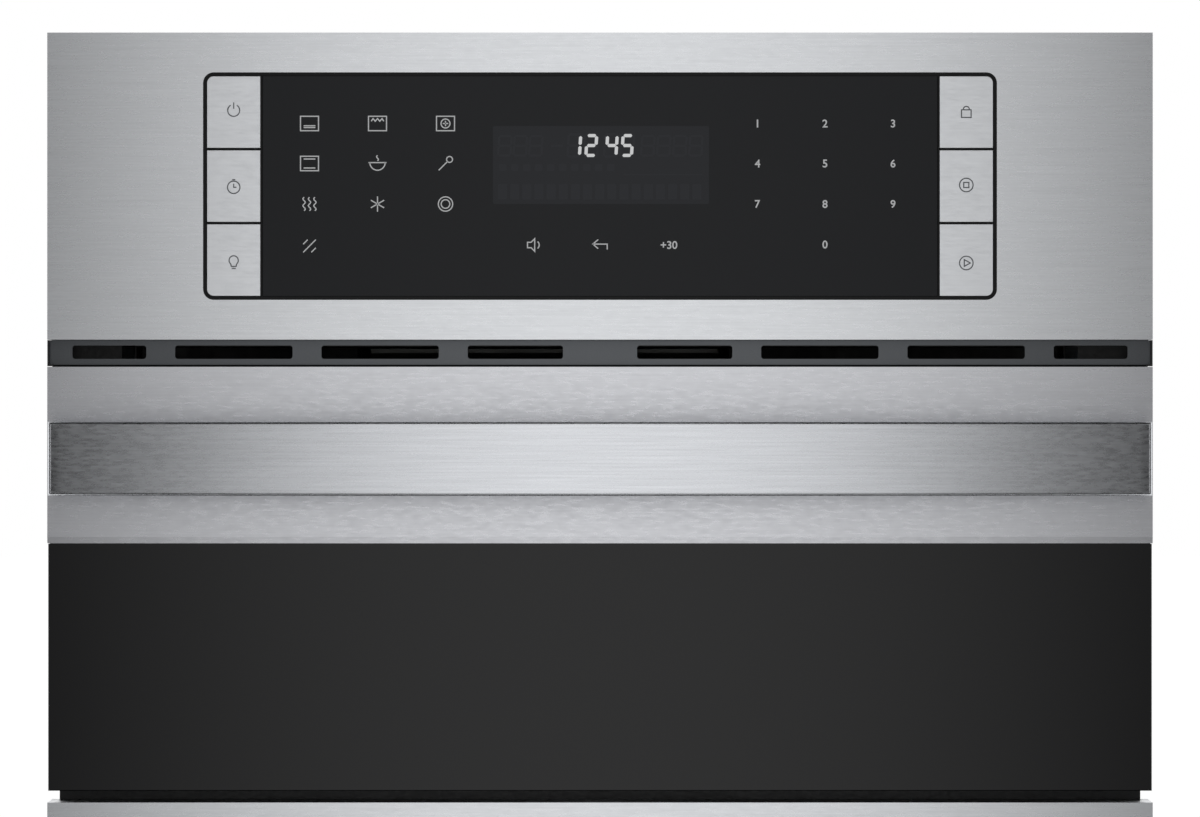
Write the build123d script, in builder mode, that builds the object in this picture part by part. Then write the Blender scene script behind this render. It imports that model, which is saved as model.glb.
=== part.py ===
from build123d import *
import os
from math import cos, pi, sin, sqrt

os.makedirs("parts", exist_ok=True)

# Front and chassis, in millimetres. X runs across the front, Y to the back of the cabinet, Z up.
front_width = 756.0
chassis_width = 718.0
chassis_depth = 577.0
front_proud = 45.0  # doors and fascias stand this far ahead of the cabinet's face
handle_reach = 52.0  # crown of the bowed handle ahead of the door's steel
sheet = 1.2
fit_gap = 0.3  # clearance between neighbouring sheets and mouldings
hole_gap = 1.0  # clearance round what passes through wool and shelves
round_sides = 12  # flats of the small round pieces inside the chassis, which keep the model light

# Stack of the front, from the bottom up
floor_clear = 6.0
bottom_trim_height = 40.0
seam = 8.0  # room for the lower edge of a door as it swings
lower_door_height = 508.0
vent_height = 18.6
lower_fascia_height = 150.0
upper_door_height = 290.0
upper_fascia_height = 210.0
z_lower_door = floor_clear + bottom_trim_height + seam
z_lower_vent = z_lower_door + lower_door_height
z_lower_fascia = z_lower_vent + vent_height
z_upper_door = z_lower_fascia + lower_fascia_height + seam
z_upper_vent = z_upper_door + upper_door_height
z_upper_fascia = z_upper_vent + vent_height
front_top = z_upper_fascia + upper_fascia_height

# Chassis heights and the cabinet's plane
rail_height = 12.0
top_overlap = 18.0  # the front reaches this far above the chassis
chassis_top = front_top - top_overlap
total_depth = chassis_depth + front_proud + handle_reach
y_back = total_depth / 2
y_face = y_back - chassis_depth
y_middle = (y_face + y_back) / 2
inner_width = chassis_width - 2 * (sheet + fit_gap)
side_flange = 9.0

# Face frame and the planes ahead of it, counted forward from the cabinet's face
frame_sheet = 1.5
rim_front = frame_sheet + sheet  # a cavity's rim lies on the face frame
fascia_back = frame_sheet + fit_gap
door_back = 8.0
glass_recess = 1.5
door_glass_thickness = 5.0
glass_front = front_proud - glass_recess
pan_front = glass_front - door_glass_thickness - fit_gap
frame_overlap = 14.0  # flange that covers the cabinet's edge on each side
screw_radius = 2.5
screw_inset = 7.0
frame_screw_radius = 2.0
screw_sides = 6
frame_screw_heights = (200.0, 668.0, 1180.0)
frame_screw_x = chassis_width / 2 - side_flange / 2

# Cavities
upper_cavity_width = 500.0
upper_cavity_height = 216.0
upper_cavity_depth = 430.0
upper_cavity_sill = 40.0  # door's lower edge to the cavity's floor
upper_rim = 22.0
upper_wool = 24.0
lower_cavity_width = 600.0
lower_cavity_height = 420.0
lower_cavity_depth = 470.0
lower_cavity_sill = 44.0
lower_rim = 26.0
lower_wool = 29.0
cavity_corner = 18.0
z_upper_floor = z_upper_door + upper_cavity_sill
z_lower_floor = z_lower_door + lower_cavity_sill
z_upper_roof = z_upper_floor + upper_cavity_height
z_lower_roof = z_lower_floor + lower_cavity_height

# Trays that divide the chassis
shelf_lip = 12.0
z_shelf_low = z_lower_roof + sheet + lower_wool + fit_gap
z_shelf_middle = z_upper_floor - 2 * sheet - upper_wool - fit_gap
z_shelf_high = z_upper_roof + sheet + upper_wool + fit_gap

# Door hinges: each door turns on two pins low in its thickness
pivot_ahead = 30.0
pivot_rise = 15.0
hinge_x = 341.0
arm_thickness = 6.0
arm_radius = 6.0
arm_gap = 1.5  # room round an arm in the door and the face frame
arm_depth = 50.0
receiver_width = 16.0
receiver_height = 40.0
pin_radius = 3.0
pin_clearance = 0.06

# Door latch hooks
latch_x = 310.0
latch_drop = 26.0  # door's top edge to the hooks
latch_slot_width = 9.0
latch_slot_height = 28.0

# Passages through the cavities' walls
shaft_radius = 4.0
shaft_gap = 0.4
shaft_fit = 0.06
lamp_radius = 19.0
lens_sides = 12
lamp_drop = 52.0
lamp_depth = 190.0
port_rise = 120.0
port_width = 70.0
port_height = 30.0
waveguide_width = 40.0
waveguide_length = 90.0
waveguide_depth = 200.0
waveguide_rise = 72.0  # above the top tray
waveguide_x = upper_cavity_width / 2 + sheet + waveguide_width / 2
waveguide_y = y_face + waveguide_depth
waveguide_top = z_shelf_high + waveguide_rise
antenna_radius = 9.0
antenna_drop = 27.0
element_radius = 3.5
lead_spacing = 60.0
element_drop = 18.0
turntable_depth = 192.0
turntable_y = y_face + turntable_depth

# Control inserts
insert_width = 542.3
insert_radius = 7.0
insert_rim = 2.0
insert_depth = 9.0
insert_flange = 8.0
insert_flange_thickness = 2.0
key_rib = 0.8
glass_rib = 1.0
key_width = 36.7
key_height = 49.2
key_gap = 0.3
key_depth = 3.8
key_wall = 1.0
key_rim = 2.5  # side walls of a key, thick enough for its rounded corner
key_bevel = 0.25
key_travel = 0.6
key_pocket = 5.0
stem_side = 6.0
touch_thickness = 4.0
board_gap = 6.0
board_thickness = 1.6
board_margin = 10.0
switch_side = 6.0
switch_height = 4.0
boss_side = 7.0
display_width = 147.0
display_height = 54.0
upper_rows = 3
lower_rows = 2
upper_display_rise = 14.0
lower_display_rise = 6.0
insert_back = front_proud - insert_depth
board_front = insert_back - board_gap
z_upper_insert = z_upper_fascia + upper_fascia_height / 2
z_lower_insert = z_lower_fascia + lower_fascia_height / 2

# Handle, a flat bar bowed in plan
handle_height = 50.0
handle_drop = 37.6  # door's top edge to the handle's top edge
handle_thickness = 14.0
handle_bow = 18.0  # the ends stand back this far from the crown
handle_inset = 3.0
handle_round = 2.5
post_width = 24.0
post_height = 36.0
post_inset = 44.0
door_steel_height = 120.7
hem_height = 4.4
hem_depth = 1.0


def face_plane(ahead):
    """Upright plane so far ahead of the cabinet's face. Its local x is X and its local y is Z."""
    return Plane.XZ.offset(ahead - y_face)


def soft_rectangle(width, height, radius, mode=Mode.ADD):
    """Rectangle whose corners turn in two flats that touch the round of this radius."""
    tip = radius / cos(pi / 12)
    turn = [(tip * cos(angle), tip * sin(angle)) for angle in (pi / 12, pi / 4, 5 * pi / 12)]
    upper = [(width / 2 - radius + x, height / 2 - radius + y) for x, y in turn]
    upper += [(-x, y) for x, y in reversed(upper)]
    Polygon(*upper, *[(-x, -y) for x, y in upper], align=None, mode=mode)


def bore(radius, mode=Mode.ADD):
    """Outline of a hole with flats that all clear a round of this radius."""
    RegularPolygon(radius, round_sides, major_radius=False, mode=mode)


def keep(piece, name):
    """Labels a finished piece and writes it."""
    piece.part.label = name
    export_step(piece.part, f"parts/{name}.step")


# Base pan: a tray with two pressed runners that the oven stands on
pan_lip = 15.0
rail_width = 44.0
rail_inset = 92.0
rail_end = 30.0
tray_depth = chassis_depth - 3 * (sheet + fit_gap)
y_tray = y_face + sheet + fit_gap + tray_depth / 2
rail_x = chassis_width / 2 - rail_inset
with BuildPart() as base_pan:
    with BuildSketch(Plane.XY.offset(rail_height)):
        with Locations((0, y_tray)):
            Rectangle(inner_width, tray_depth)
    extrude(amount=pan_lip)
    offset(amount=-sheet, openings=base_pan.faces().sort_by(Axis.Z)[-1])
    with BuildSketch(Plane.XY):
        with Locations((-rail_x, y_tray), (rail_x, y_tray)):
            Rectangle(rail_width, tray_depth - 2 * rail_end)
    extrude(amount=rail_height + sheet)
    with BuildSketch(Plane.XY.offset(sheet)):
        with Locations((-rail_x, y_tray), (rail_x, y_tray)):
            Rectangle(rail_width - 2 * sheet, tray_depth - 2 * (rail_end + sheet))
    extrude(amount=rail_height, mode=Mode.SUBTRACT)
keep(base_pan, "base_pan")

# Side panels: folded sheets with inward flanges and louvre slots
louvre_length = 60.0
side_louvre_length = 240.0
louvre_width = 6.0
louvre_pitch = 16.0
louvre_rows = 3
lower_louvre = 60.0  # above the lower vent strip
upper_louvre = 90.0  # below the top of the chassis
side_height = chassis_top - rail_height
with BuildPart() as side_panels:
    with BuildSketch(Plane.XY.offset(rail_height)):
        with Locations((chassis_width / 2 - side_flange / 2, y_middle)):
            Rectangle(side_flange, chassis_depth)
        with Locations((chassis_width / 2 - sheet - side_flange / 2, y_middle)):
            Rectangle(side_flange, chassis_depth - 2 * sheet, mode=Mode.SUBTRACT)
    extrude(amount=side_height)
    with BuildSketch(Plane.YZ.offset(chassis_width / 2 - 2 * sheet)):
        with Locations((y_middle, chassis_top - upper_louvre), (y_middle, z_lower_vent + lower_louvre)):
            with GridLocations(0, louvre_pitch, 1, louvre_rows):
                Rectangle(side_louvre_length, louvre_width)
    extrude(amount=4 * sheet, mode=Mode.SUBTRACT)
    with BuildSketch(face_plane(0)):
        with Locations(*[(frame_screw_x, height) for height in frame_screw_heights]):
            RegularPolygon(frame_screw_radius + fit_gap, screw_sides)
    extrude(amount=-2 * sheet, mode=Mode.SUBTRACT)
    mirror(about=Plane.YZ)
keep(side_panels, "side_panels")

# Back panel: stiffened by two pressed fields, with louvre slots above each
swage_depth = 4.0
swage_margin = 60.0
swage_corner = 40.0
back_plane = Plane.XZ.offset(sheet + fit_gap - y_back)
back_low = rail_height + fit_gap
back_high = chassis_top - sheet - fit_gap
swages = (
    ((z_lower_floor + z_lower_roof) / 2, lower_cavity_height - 2 * swage_margin),
    ((z_upper_floor + z_upper_roof) / 2, upper_cavity_height - swage_margin / 2),
)
with BuildPart() as back_panel:
    with BuildSketch(back_plane):
        with Locations((0, (back_low + back_high) / 2)):
            Rectangle(inner_width, back_high - back_low)
    extrude(amount=sheet)
    with BuildSketch(back_plane):
        for height, rise in swages:
            with Locations((0, height)):
                soft_rectangle(inner_width - 2 * swage_margin, rise, swage_corner)
    extrude(amount=swage_depth)
    with BuildSketch(back_plane):
        for height, rise in swages:
            with Locations((0, height)):
                soft_rectangle(
                    inner_width - 2 * (swage_margin + sheet), rise - 2 * sheet, swage_corner - sheet
                )
    extrude(amount=swage_depth - sheet, mode=Mode.SUBTRACT)
    with BuildSketch(back_plane):
        with Locations((0, z_lower_vent + lower_louvre), (0, chassis_top - upper_louvre)):
            with GridLocations(2 * louvre_length, louvre_pitch, 4, louvre_rows):
                Rectangle(louvre_length, louvre_width)
    extrude(amount=2 * sheet, mode=Mode.SUBTRACT)
keep(back_panel, "back_panel")

# Top panel: closes the chassis, with louvre slots and the hole for the conduit bush
conduit_radius = 11.0
bush_wall = 3.0
bush_flange = 5.0
bush_above = 12.0
bush_below = 8.0
bush_collar = 6.0
conduit_x = 250.0
conduit_inset = 70.0
conduit_y = y_back - conduit_inset
top_lip = 14.0
with BuildPart() as top_panel:
    with BuildSketch(Plane.XY.offset(chassis_top - top_lip)):
        with Locations((0, y_tray)):
            Rectangle(inner_width, tray_depth)
    extrude(amount=top_lip)
    offset(amount=-sheet, openings=top_panel.faces().sort_by(Axis.Z)[0])
    with BuildSketch(Plane.XY.offset(chassis_top - 2 * sheet)):
        with Locations((-louvre_length, y_tray)):
            with GridLocations(2 * louvre_length, louvre_pitch, 3, 2 * louvre_rows):
                Rectangle(louvre_length, louvre_width)
        with Locations((conduit_x, conduit_y)):
            bore(conduit_radius + bush_wall + fit_gap)
    extrude(amount=3 * sheet, mode=Mode.SUBTRACT)
keep(top_panel, "top_panel")

# Conduit bush: the flanged gland that the supply conduit passes through
with BuildPart() as conduit_bush:
    with BuildSketch(Plane.XY.offset(chassis_top - sheet - bush_below)):
        with Locations((conduit_x, conduit_y)):
            RegularPolygon(conduit_radius + bush_wall, round_sides)
    extrude(amount=bush_below + sheet + bush_above)
    with BuildSketch(Plane.XY.offset(chassis_top)):
        with Locations((conduit_x, conduit_y)):
            RegularPolygon(conduit_radius + bush_wall + bush_flange, 6)
    extrude(amount=bush_collar)
    with Locations((conduit_x, conduit_y, chassis_top)):
        Hole(conduit_radius)
keep(conduit_bush, "conduit_bush")

# Shelves: trays over the lower oven, under the upper oven and over the upper oven
shelf_front = 3.0
shelf_width = inner_width - 2 * fit_gap
shelf_depth = tray_depth - shelf_front
y_shelf = y_tray + shelf_front / 2
wave_hole = (waveguide_width + 2 * hole_gap, waveguide_length + 2 * hole_gap)
with BuildPart() as shelves:
    for height in (z_shelf_low, z_shelf_middle, z_shelf_high):
        with BuildSketch(Plane.XY.offset(height)):
            with Locations((0, y_shelf)):
                Rectangle(shelf_width, shelf_depth)
        extrude(amount=sheet)
        with BuildSketch(Plane.XY.offset(height)):
            with Locations((0, y_shelf)):
                with GridLocations(shelf_width - sheet, 0, 2, 1):
                    Rectangle(sheet, shelf_depth)
        extrude(amount=shelf_lip)
    with BuildSketch(Plane.XY.offset(z_shelf_high)):
        with Locations((waveguide_x, waveguide_y)):
            Rectangle(*wave_hole)
    extrude(amount=sheet, mode=Mode.SUBTRACT)
    with BuildSketch(Plane.XY.offset(z_shelf_middle)):
        with Locations((0, y_face)):
            with GridLocations(2 * hinge_x, 0, 2, 1):
                Rectangle(receiver_width + 2 * hole_gap, 2 * (arm_depth + hole_gap))
    extrude(amount=sheet, mode=Mode.SUBTRACT)
keep(shelves, "shelves")

# Face frame: the flanged plate that screws to the cabinet and carries both cavities
duct_width = 660.0
duct_margin = 2.0
wiring_width = 420.0
wiring_height = 60.0
face_width = chassis_width + 2 * frame_overlap
face_low = rail_height
face_high = chassis_top + top_overlap / 2
screw_x = face_width / 2 - screw_inset
screw_low_rise = 90.0  # above the lower edge of the lower door
screw_high_rise = 230.0  # above the lower edge of the upper door
screw_low = z_lower_door + screw_low_rise
screw_high = z_upper_door + screw_high_rise
cavity_mouths = (
    (upper_cavity_width, upper_cavity_height, z_upper_floor),
    (lower_cavity_width, lower_cavity_height, z_lower_floor),
)
with BuildPart() as face_frame:
    with BuildSketch(face_plane(0)):
        with Locations((0, (face_low + face_high) / 2)):
            Rectangle(face_width, face_high - face_low)
        for width, height, floor in cavity_mouths:
            grow = 2 * (sheet + fit_gap)
            with Locations((0, floor + height / 2)):
                Rectangle(width + grow, height + grow, mode=Mode.SUBTRACT)
        with Locations((0, z_lower_vent + vent_height / 2), (0, z_upper_vent + vent_height / 2)):
            Rectangle(duct_width, vent_height - 2 * duct_margin, mode=Mode.SUBTRACT)
        with Locations((0, z_lower_insert), (0, z_upper_insert)):
            Rectangle(wiring_width, wiring_height, mode=Mode.SUBTRACT)
        for height in (z_lower_door, z_upper_door):
            with Locations((0, height + pivot_rise)):
                with GridLocations(2 * hinge_x, 0, 2, 1):
                    Rectangle(
                        arm_thickness + 2 * arm_gap, 2 * (arm_radius + arm_gap), mode=Mode.SUBTRACT
                    )
        with Locations((0, z_upper_vent - latch_drop)):
            with GridLocations(2 * latch_x, 0, 2, 1):
                Rectangle(latch_slot_width, latch_slot_height, mode=Mode.SUBTRACT)
        with Locations((0, (screw_low + screw_high) / 2)):
            with GridLocations(2 * screw_x, screw_high - screw_low, 2, 2):
                Circle(screw_radius, mode=Mode.SUBTRACT)
        for height in frame_screw_heights:
            with Locations((-frame_screw_x, height), (frame_screw_x, height)):
                RegularPolygon(frame_screw_radius + fit_gap, screw_sides, mode=Mode.SUBTRACT)
    extrude(amount=frame_sheet)
keep(face_frame, "face_frame")

# Frame screws: hexagon heads that hold the face frame to the side panels' flanges
screw_head_radius = 3.8
screw_head_height = 2.0
screw_length = 5.0
with BuildPart() as frame_screws:
    with BuildSketch(face_plane(frame_sheet)):
        for height in frame_screw_heights:
            with Locations((-frame_screw_x, height), (frame_screw_x, height)):
                RegularPolygon(screw_head_radius, screw_sides)
    extrude(amount=screw_head_height)
    with BuildSketch(face_plane(frame_sheet)):
        for height in frame_screw_heights:
            with Locations((-frame_screw_x, height), (frame_screw_x, height)):
                RegularPolygon(frame_screw_radius, screw_sides)
    extrude(amount=-screw_length)
keep(frame_screws, "frame_screws")


def liner(width, height, depth, rim, z_floor):
    """Pressed box, open at the front, with its rim on the face frame and a shaft hole at the back."""
    z_centre = z_floor + height / 2
    with BuildPart() as box:
        with BuildSketch(face_plane(rim_front)):
            with Locations((0, z_centre)):
                soft_rectangle(width + 2 * sheet, height + 2 * sheet, cavity_corner)
        extrude(amount=-(rim_front + depth + sheet))
        with BuildSketch(face_plane(frame_sheet)):
            with Locations((0, z_centre)):
                soft_rectangle(width + 2 * rim, height + 2 * rim, cavity_corner + rim / 2)
        extrude(amount=sheet)
        with BuildSketch(face_plane(rim_front)):
            with Locations((0, z_centre)):
                soft_rectangle(width, height, cavity_corner - sheet)
        extrude(amount=-(rim_front + depth), mode=Mode.SUBTRACT)
        with BuildSketch(face_plane(-depth)):
            with Locations((0, z_centre)):
                bore(shaft_radius + shaft_gap)
            with Locations((0, z_floor + height - element_drop)):
                with GridLocations(lead_spacing, 0, 2, 1):
                    Rectangle(*[2 * (element_radius + fit_gap)] * 2)
        extrude(amount=-sheet, mode=Mode.SUBTRACT)
        with BuildSketch(Plane.YZ.offset(-width / 2)):
            with Locations((y_face + lamp_depth, z_floor + height - lamp_drop)):
                RegularPolygon(lamp_radius, lens_sides)
        extrude(amount=-sheet, mode=Mode.SUBTRACT)
    return box


# Upper cavity: its waveguide is welded on, from the port in the right wall up to the magnetron
z_port = z_upper_floor + port_rise
waveguide_low = z_port - port_height
upper_box = liner(
    upper_cavity_width, upper_cavity_height, upper_cavity_depth, upper_rim, z_upper_floor
)
with BuildPart() as upper_cavity:
    add(upper_box.part)
    with BuildSketch(Plane.XY.offset(waveguide_low)):
        with Locations((waveguide_x, waveguide_y)):
            Rectangle(waveguide_width, waveguide_length)
    extrude(amount=waveguide_top - waveguide_low)
    with BuildSketch(Plane.XY.offset(waveguide_low + sheet)):
        with Locations((waveguide_x, waveguide_y)):
            Rectangle(waveguide_width - 2 * sheet, waveguide_length - 2 * sheet)
    extrude(amount=waveguide_top - waveguide_low - 2 * sheet, mode=Mode.SUBTRACT)
    with BuildSketch(Plane.YZ.offset(upper_cavity_width / 2)):
        with Locations((waveguide_y, z_port)):
            Rectangle(port_width, port_height)
    extrude(amount=3 * sheet, mode=Mode.SUBTRACT)
    with BuildSketch(Plane.YZ.offset(upper_cavity_width / 2)):
        with Locations((waveguide_y, waveguide_top - antenna_drop)):
            bore(antenna_radius + fit_gap)
    extrude(amount=3 * sheet, mode=Mode.SUBTRACT)
    with BuildSketch(Plane.XY.offset(z_upper_floor)):
        with Locations((0, turntable_y)):
            bore(shaft_radius + shaft_gap)
    extrude(amount=-sheet, mode=Mode.SUBTRACT)
keep(upper_cavity, "upper_cavity")

# Port cover: the mica sheet over the waveguide's port
port_cover_thickness = 0.8
port_cover_lap = 8.0
with BuildPart() as port_cover:
    with BuildSketch(Plane.YZ.offset(upper_cavity_width / 2 - port_cover_thickness)):
        with Locations((waveguide_y, z_port)):
            Rectangle(port_width + 2 * port_cover_lap, port_height + 2 * port_cover_lap)
    extrude(amount=port_cover_thickness)
keep(port_cover, "port_cover")

# Lower cavity: five pressed runners on each side wall carry the racks
runner_height = 9.0
runner_reach = 12.0
runner_pitch = 62.0
runner_first = 62.0
runner_count = 5
runner_inset = 20.0
runner_length = 385.0
lower_box = liner(
    lower_cavity_width, lower_cavity_height, lower_cavity_depth, lower_rim, z_lower_floor
)
with BuildPart() as lower_cavity:
    add(lower_box.part)
    with BuildSketch(face_plane(-runner_inset)):
        for level in range(runner_count):
            height = z_lower_floor + runner_first + level * runner_pitch - runner_height / 2
            with Locations((0, height)):
                with GridLocations(lower_cavity_width - runner_reach, 0, 2, 1):
                    Rectangle(runner_reach, runner_height)
    extrude(amount=-runner_length)
keep(lower_cavity, "lower_cavity")

# Oven racks: a bent frame wire with cross bars and long wires welded to it
rack_wire = 3.0
rack_bar = 2.5
rack_thin_wire = 1.75
rack_side_gap = 4.0
rack_depth = 392.0
rack_cut = 8.0  # how far each corner of the frame wire is cut off
rack_wires = 13
rack_bars = 2
rack_half = lower_cavity_width / 2 - rack_side_gap - rack_wire
rack_front = y_face + runner_inset - rack_wire


def cut_corners(points, cut):
    """Points of a bent line, with each corner cut off so far from its tip."""
    line = [Vector(*point) for point in points]
    bent = [line[0]]
    for before, corner, after in zip(line, line[1:], line[2:]):
        bent += [corner + (before - corner).normalized() * cut, corner + (after - corner).normalized() * cut]
    return bent + [line[-1]]


def make_rack(name, level):
    """Wire rack that rests on one pair of runners, counted from 0 at the bottom."""
    z_wire = z_lower_floor + runner_first + level * runner_pitch + fit_gap + rack_wire
    y_centre = rack_front + rack_depth / 2
    corners = (
        (0, rack_front),
        (rack_half, rack_front),
        (rack_half, rack_front + rack_depth),
        (0, rack_front + rack_depth),
    )
    with BuildPart() as rack:
        with BuildLine(Plane.XY.offset(z_wire)) as outline:
            Polyline(*cut_corners(corners, rack_cut))
        with BuildSketch(Plane.YZ):
            with Locations((rack_front, z_wire)):
                RegularPolygon(rack_wire, 6, rotation=30)
        sweep(path=outline.line, transition=Transition.RIGHT)
        mirror(about=Plane.YZ)
        with BuildSketch(Plane.YZ.offset(-rack_half)):
            with Locations((y_centre, z_wire)):
                with GridLocations(rack_depth / (rack_bars + 1), 0, rack_bars, 1):
                    Rectangle(2 * rack_bar, 2 * rack_bar)
        extrude(amount=2 * rack_half)
        with BuildSketch(Plane.XZ.offset(-rack_front)):
            with Locations((0, z_wire + rack_wire)):
                with GridLocations(2 * rack_half / (rack_wires + 1), 0, rack_wires, 1):
                    Rectangle(2 * rack_thin_wire, 2 * rack_thin_wire)
        extrude(amount=-rack_depth)
    keep(rack, name)


make_rack("upper_rack", 3)
make_rack("lower_rack", 1)

# Heating elements: a ring round each convection fan, two roof elements and a hidden bake element
upper_ring_radius = 70.0
lower_ring_radius = 112.0
ring_opening = 60.0  # distance between a ring's leads
ring_sides = 24
cover_depth = 36.0
element_front = 60.0
element_side = 46.0
element_turn = 20.0
element_cut = 13.0
upper_passes = 4
lower_passes = 6


def ring_element(radius, depth, z_centre):
    """Ring in the plane of the fan, open at the bottom, with two leads to the back wall."""
    ring_plane = face_plane(cover_depth / 2 - depth)
    with BuildPart() as ring:
        with BuildSketch(ring_plane.offset(element_radius)):
            with Locations((0, z_centre)):
                RegularPolygon(radius + element_radius, ring_sides)
                RegularPolygon(radius - element_radius, ring_sides, mode=Mode.SUBTRACT)
            with Locations((0, z_centre - radius)):
                Rectangle(ring_opening, radius, mode=Mode.SUBTRACT)
        extrude(amount=-2 * element_radius)
        with BuildSketch(ring_plane.offset(element_radius)):
            with Locations((0, z_centre - sqrt(radius**2 - ring_opening**2 / 4))):
                with GridLocations(ring_opening, 0, 2, 1):
                    Rectangle(2 * element_radius, 2 * element_radius)
        extrude(amount=-(cover_depth / 2 + element_radius - fit_gap))
    return ring


def flat_element(width, depth, wool, z_tube, passes):
    """Serpentine tube in a level plane, from one lead to the other."""
    half = width / 2 - element_side
    back = y_face + depth - cover_depth - element_side
    inner_back = back - 3 * element_turn
    front = y_face + element_front
    y_end = y_face + depth + sheet + wool + element_radius
    points = [(-lead_spacing / 2, y_end), (-lead_spacing / 2, back)]
    for step in range(passes // 2):
        x = -half + step * (half - lead_spacing / 2) / (passes // 2)
        near = inner_back if step else back
        points += [(x, front), (x, near)] if step % 2 else [(x, near), (x, front)]
    points += [(-x, y) for x, y in reversed(points)]
    with BuildPart() as tube:
        with BuildLine(Plane.XY.offset(z_tube)) as path:
            Polyline(*cut_corners(points, element_cut))
        with BuildSketch(Plane.XZ.offset(-y_end)):
            with Locations((-lead_spacing / 2, z_tube)):
                RegularPolygon(element_radius, 6, rotation=30)
        sweep(path=path.line, transition=Transition.RIGHT)
    return tube


z_bake = z_lower_floor - sheet - fit_gap - element_radius  # held against the floor's underside
upper_ring = ring_element(
    upper_ring_radius, upper_cavity_depth, z_upper_floor + upper_cavity_height / 2
)
lower_ring = ring_element(
    lower_ring_radius, lower_cavity_depth, z_lower_floor + lower_cavity_height / 2
)
grill = flat_element(
    upper_cavity_width, upper_cavity_depth, upper_wool, z_upper_roof - element_drop, upper_passes
)
broil = flat_element(
    lower_cavity_width, lower_cavity_depth, lower_wool, z_lower_roof - element_drop, lower_passes
)
bake = flat_element(lower_cavity_width, lower_cavity_depth, lower_wool, z_bake, lower_passes)
with BuildPart() as heating_elements:
    add([upper_ring.part, lower_ring.part, grill.part, broil.part, bake.part])
keep(heating_elements, "heating_elements")

# Cavity wool: a blanket round each cavity, cut for what passes through it
wool_fit = sheet + fit_gap
motor_plate_radius = 45.0
lamp_housing_radius = lamp_radius + 4.0
turntable_motor_radius = 26.0
turntable_motor_height = 21.0
standoff_radius = 4.0
standoff_circle = 36.0
wool_blocks = (
    (upper_cavity_width, upper_cavity_height, upper_cavity_depth, upper_wool, z_upper_floor),
    (lower_cavity_width, lower_cavity_height, lower_cavity_depth, lower_wool, z_lower_floor),
)
with BuildPart() as cavity_wool:
    for width, height, depth, wool, floor in wool_blocks:
        with BuildSketch(face_plane(-fit_gap)):
            with Locations((0, floor + height / 2)):
                Rectangle(width + 2 * (sheet + wool), height + 2 * (sheet + wool))
        extrude(amount=-(depth + sheet + wool - fit_gap))
        with BuildSketch(face_plane(-fit_gap)):
            with Locations((0, floor + height / 2)):
                Rectangle(width + 2 * wool_fit, height + 2 * wool_fit)
        extrude(amount=-(depth + wool_fit - fit_gap), mode=Mode.SUBTRACT)
        with BuildSketch(face_plane(-depth)):
            with Locations((0, floor + height / 2)):
                Rectangle(*[2 * (shaft_radius + hole_gap)] * 2)
                with PolarLocations(standoff_circle, 3):
                    Rectangle(*[2 * (standoff_radius + hole_gap)] * 2)
            with Locations((0, floor + height - element_drop)):
                with GridLocations(lead_spacing, 0, 2, 1):
                    Rectangle(*[2 * (element_radius + hole_gap)] * 2)
        extrude(amount=-2 * wool, mode=Mode.SUBTRACT)
        with BuildSketch(Plane.YZ.offset(-width / 2)):
            with Locations((y_face + lamp_depth, floor + height - lamp_drop)):
                Rectangle(*[2 * (lamp_housing_radius + hole_gap)] * 2)
        extrude(amount=-2 * wool, mode=Mode.SUBTRACT)
    with BuildSketch(Plane.XY.offset(waveguide_low - hole_gap)):
        with Locations((waveguide_x, waveguide_y)):
            Rectangle(*wave_hole)
    extrude(amount=waveguide_top - waveguide_low, mode=Mode.SUBTRACT)
    with BuildSketch(Plane.XY.offset(z_upper_floor)):
        with Locations((0, turntable_y)):
            Rectangle(*[2 * (turntable_motor_radius + hole_gap)] * 2)
    extrude(amount=-2 * upper_wool, mode=Mode.SUBTRACT)
    recess_front = y_face + element_front - 2 * element_radius
    recess_back = y_face + lower_cavity_depth + 2 * lower_wool
    with BuildSketch(Plane.XY.offset(z_lower_floor - sheet)):
        with Locations((0, (recess_front + recess_back) / 2)):
            Rectangle(lower_cavity_width - element_side, recess_back - recess_front)
    extrude(amount=-(2 * fit_gap + 2 * element_radius), mode=Mode.SUBTRACT)
keep(cavity_wool, "cavity_wool")

# Oven lamps: a glass lens in the left wall of each cavity, on its lampholder
lens_lip = 4.0
lens_dome = 8.0
lens_lip_height = 2.0
lens_taper = 20.0
lampholder_depth = 30.0
with BuildPart() as oven_lamps:
    for width, height, depth, wool, floor in wool_blocks:
        lamp_place = (y_face + lamp_depth, floor + height - lamp_drop)
        with BuildSketch(Plane.YZ.offset(-width / 2)):
            with Locations(lamp_place):
                RegularPolygon(lamp_radius + lens_lip, lens_sides)
        extrude(amount=lens_lip_height)
        with BuildSketch(Plane.YZ.offset(-width / 2)):
            with Locations(lamp_place):
                RegularPolygon(lamp_radius, lens_sides)
        extrude(amount=lens_dome, taper=lens_taper)
        with BuildSketch(Plane.YZ.offset(-width / 2)):
            with Locations(lamp_place):
                RegularPolygon(lamp_radius - fit_gap, lens_sides)
        extrude(amount=-lampholder_depth)
keep(oven_lamps, "oven_lamps")

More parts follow.
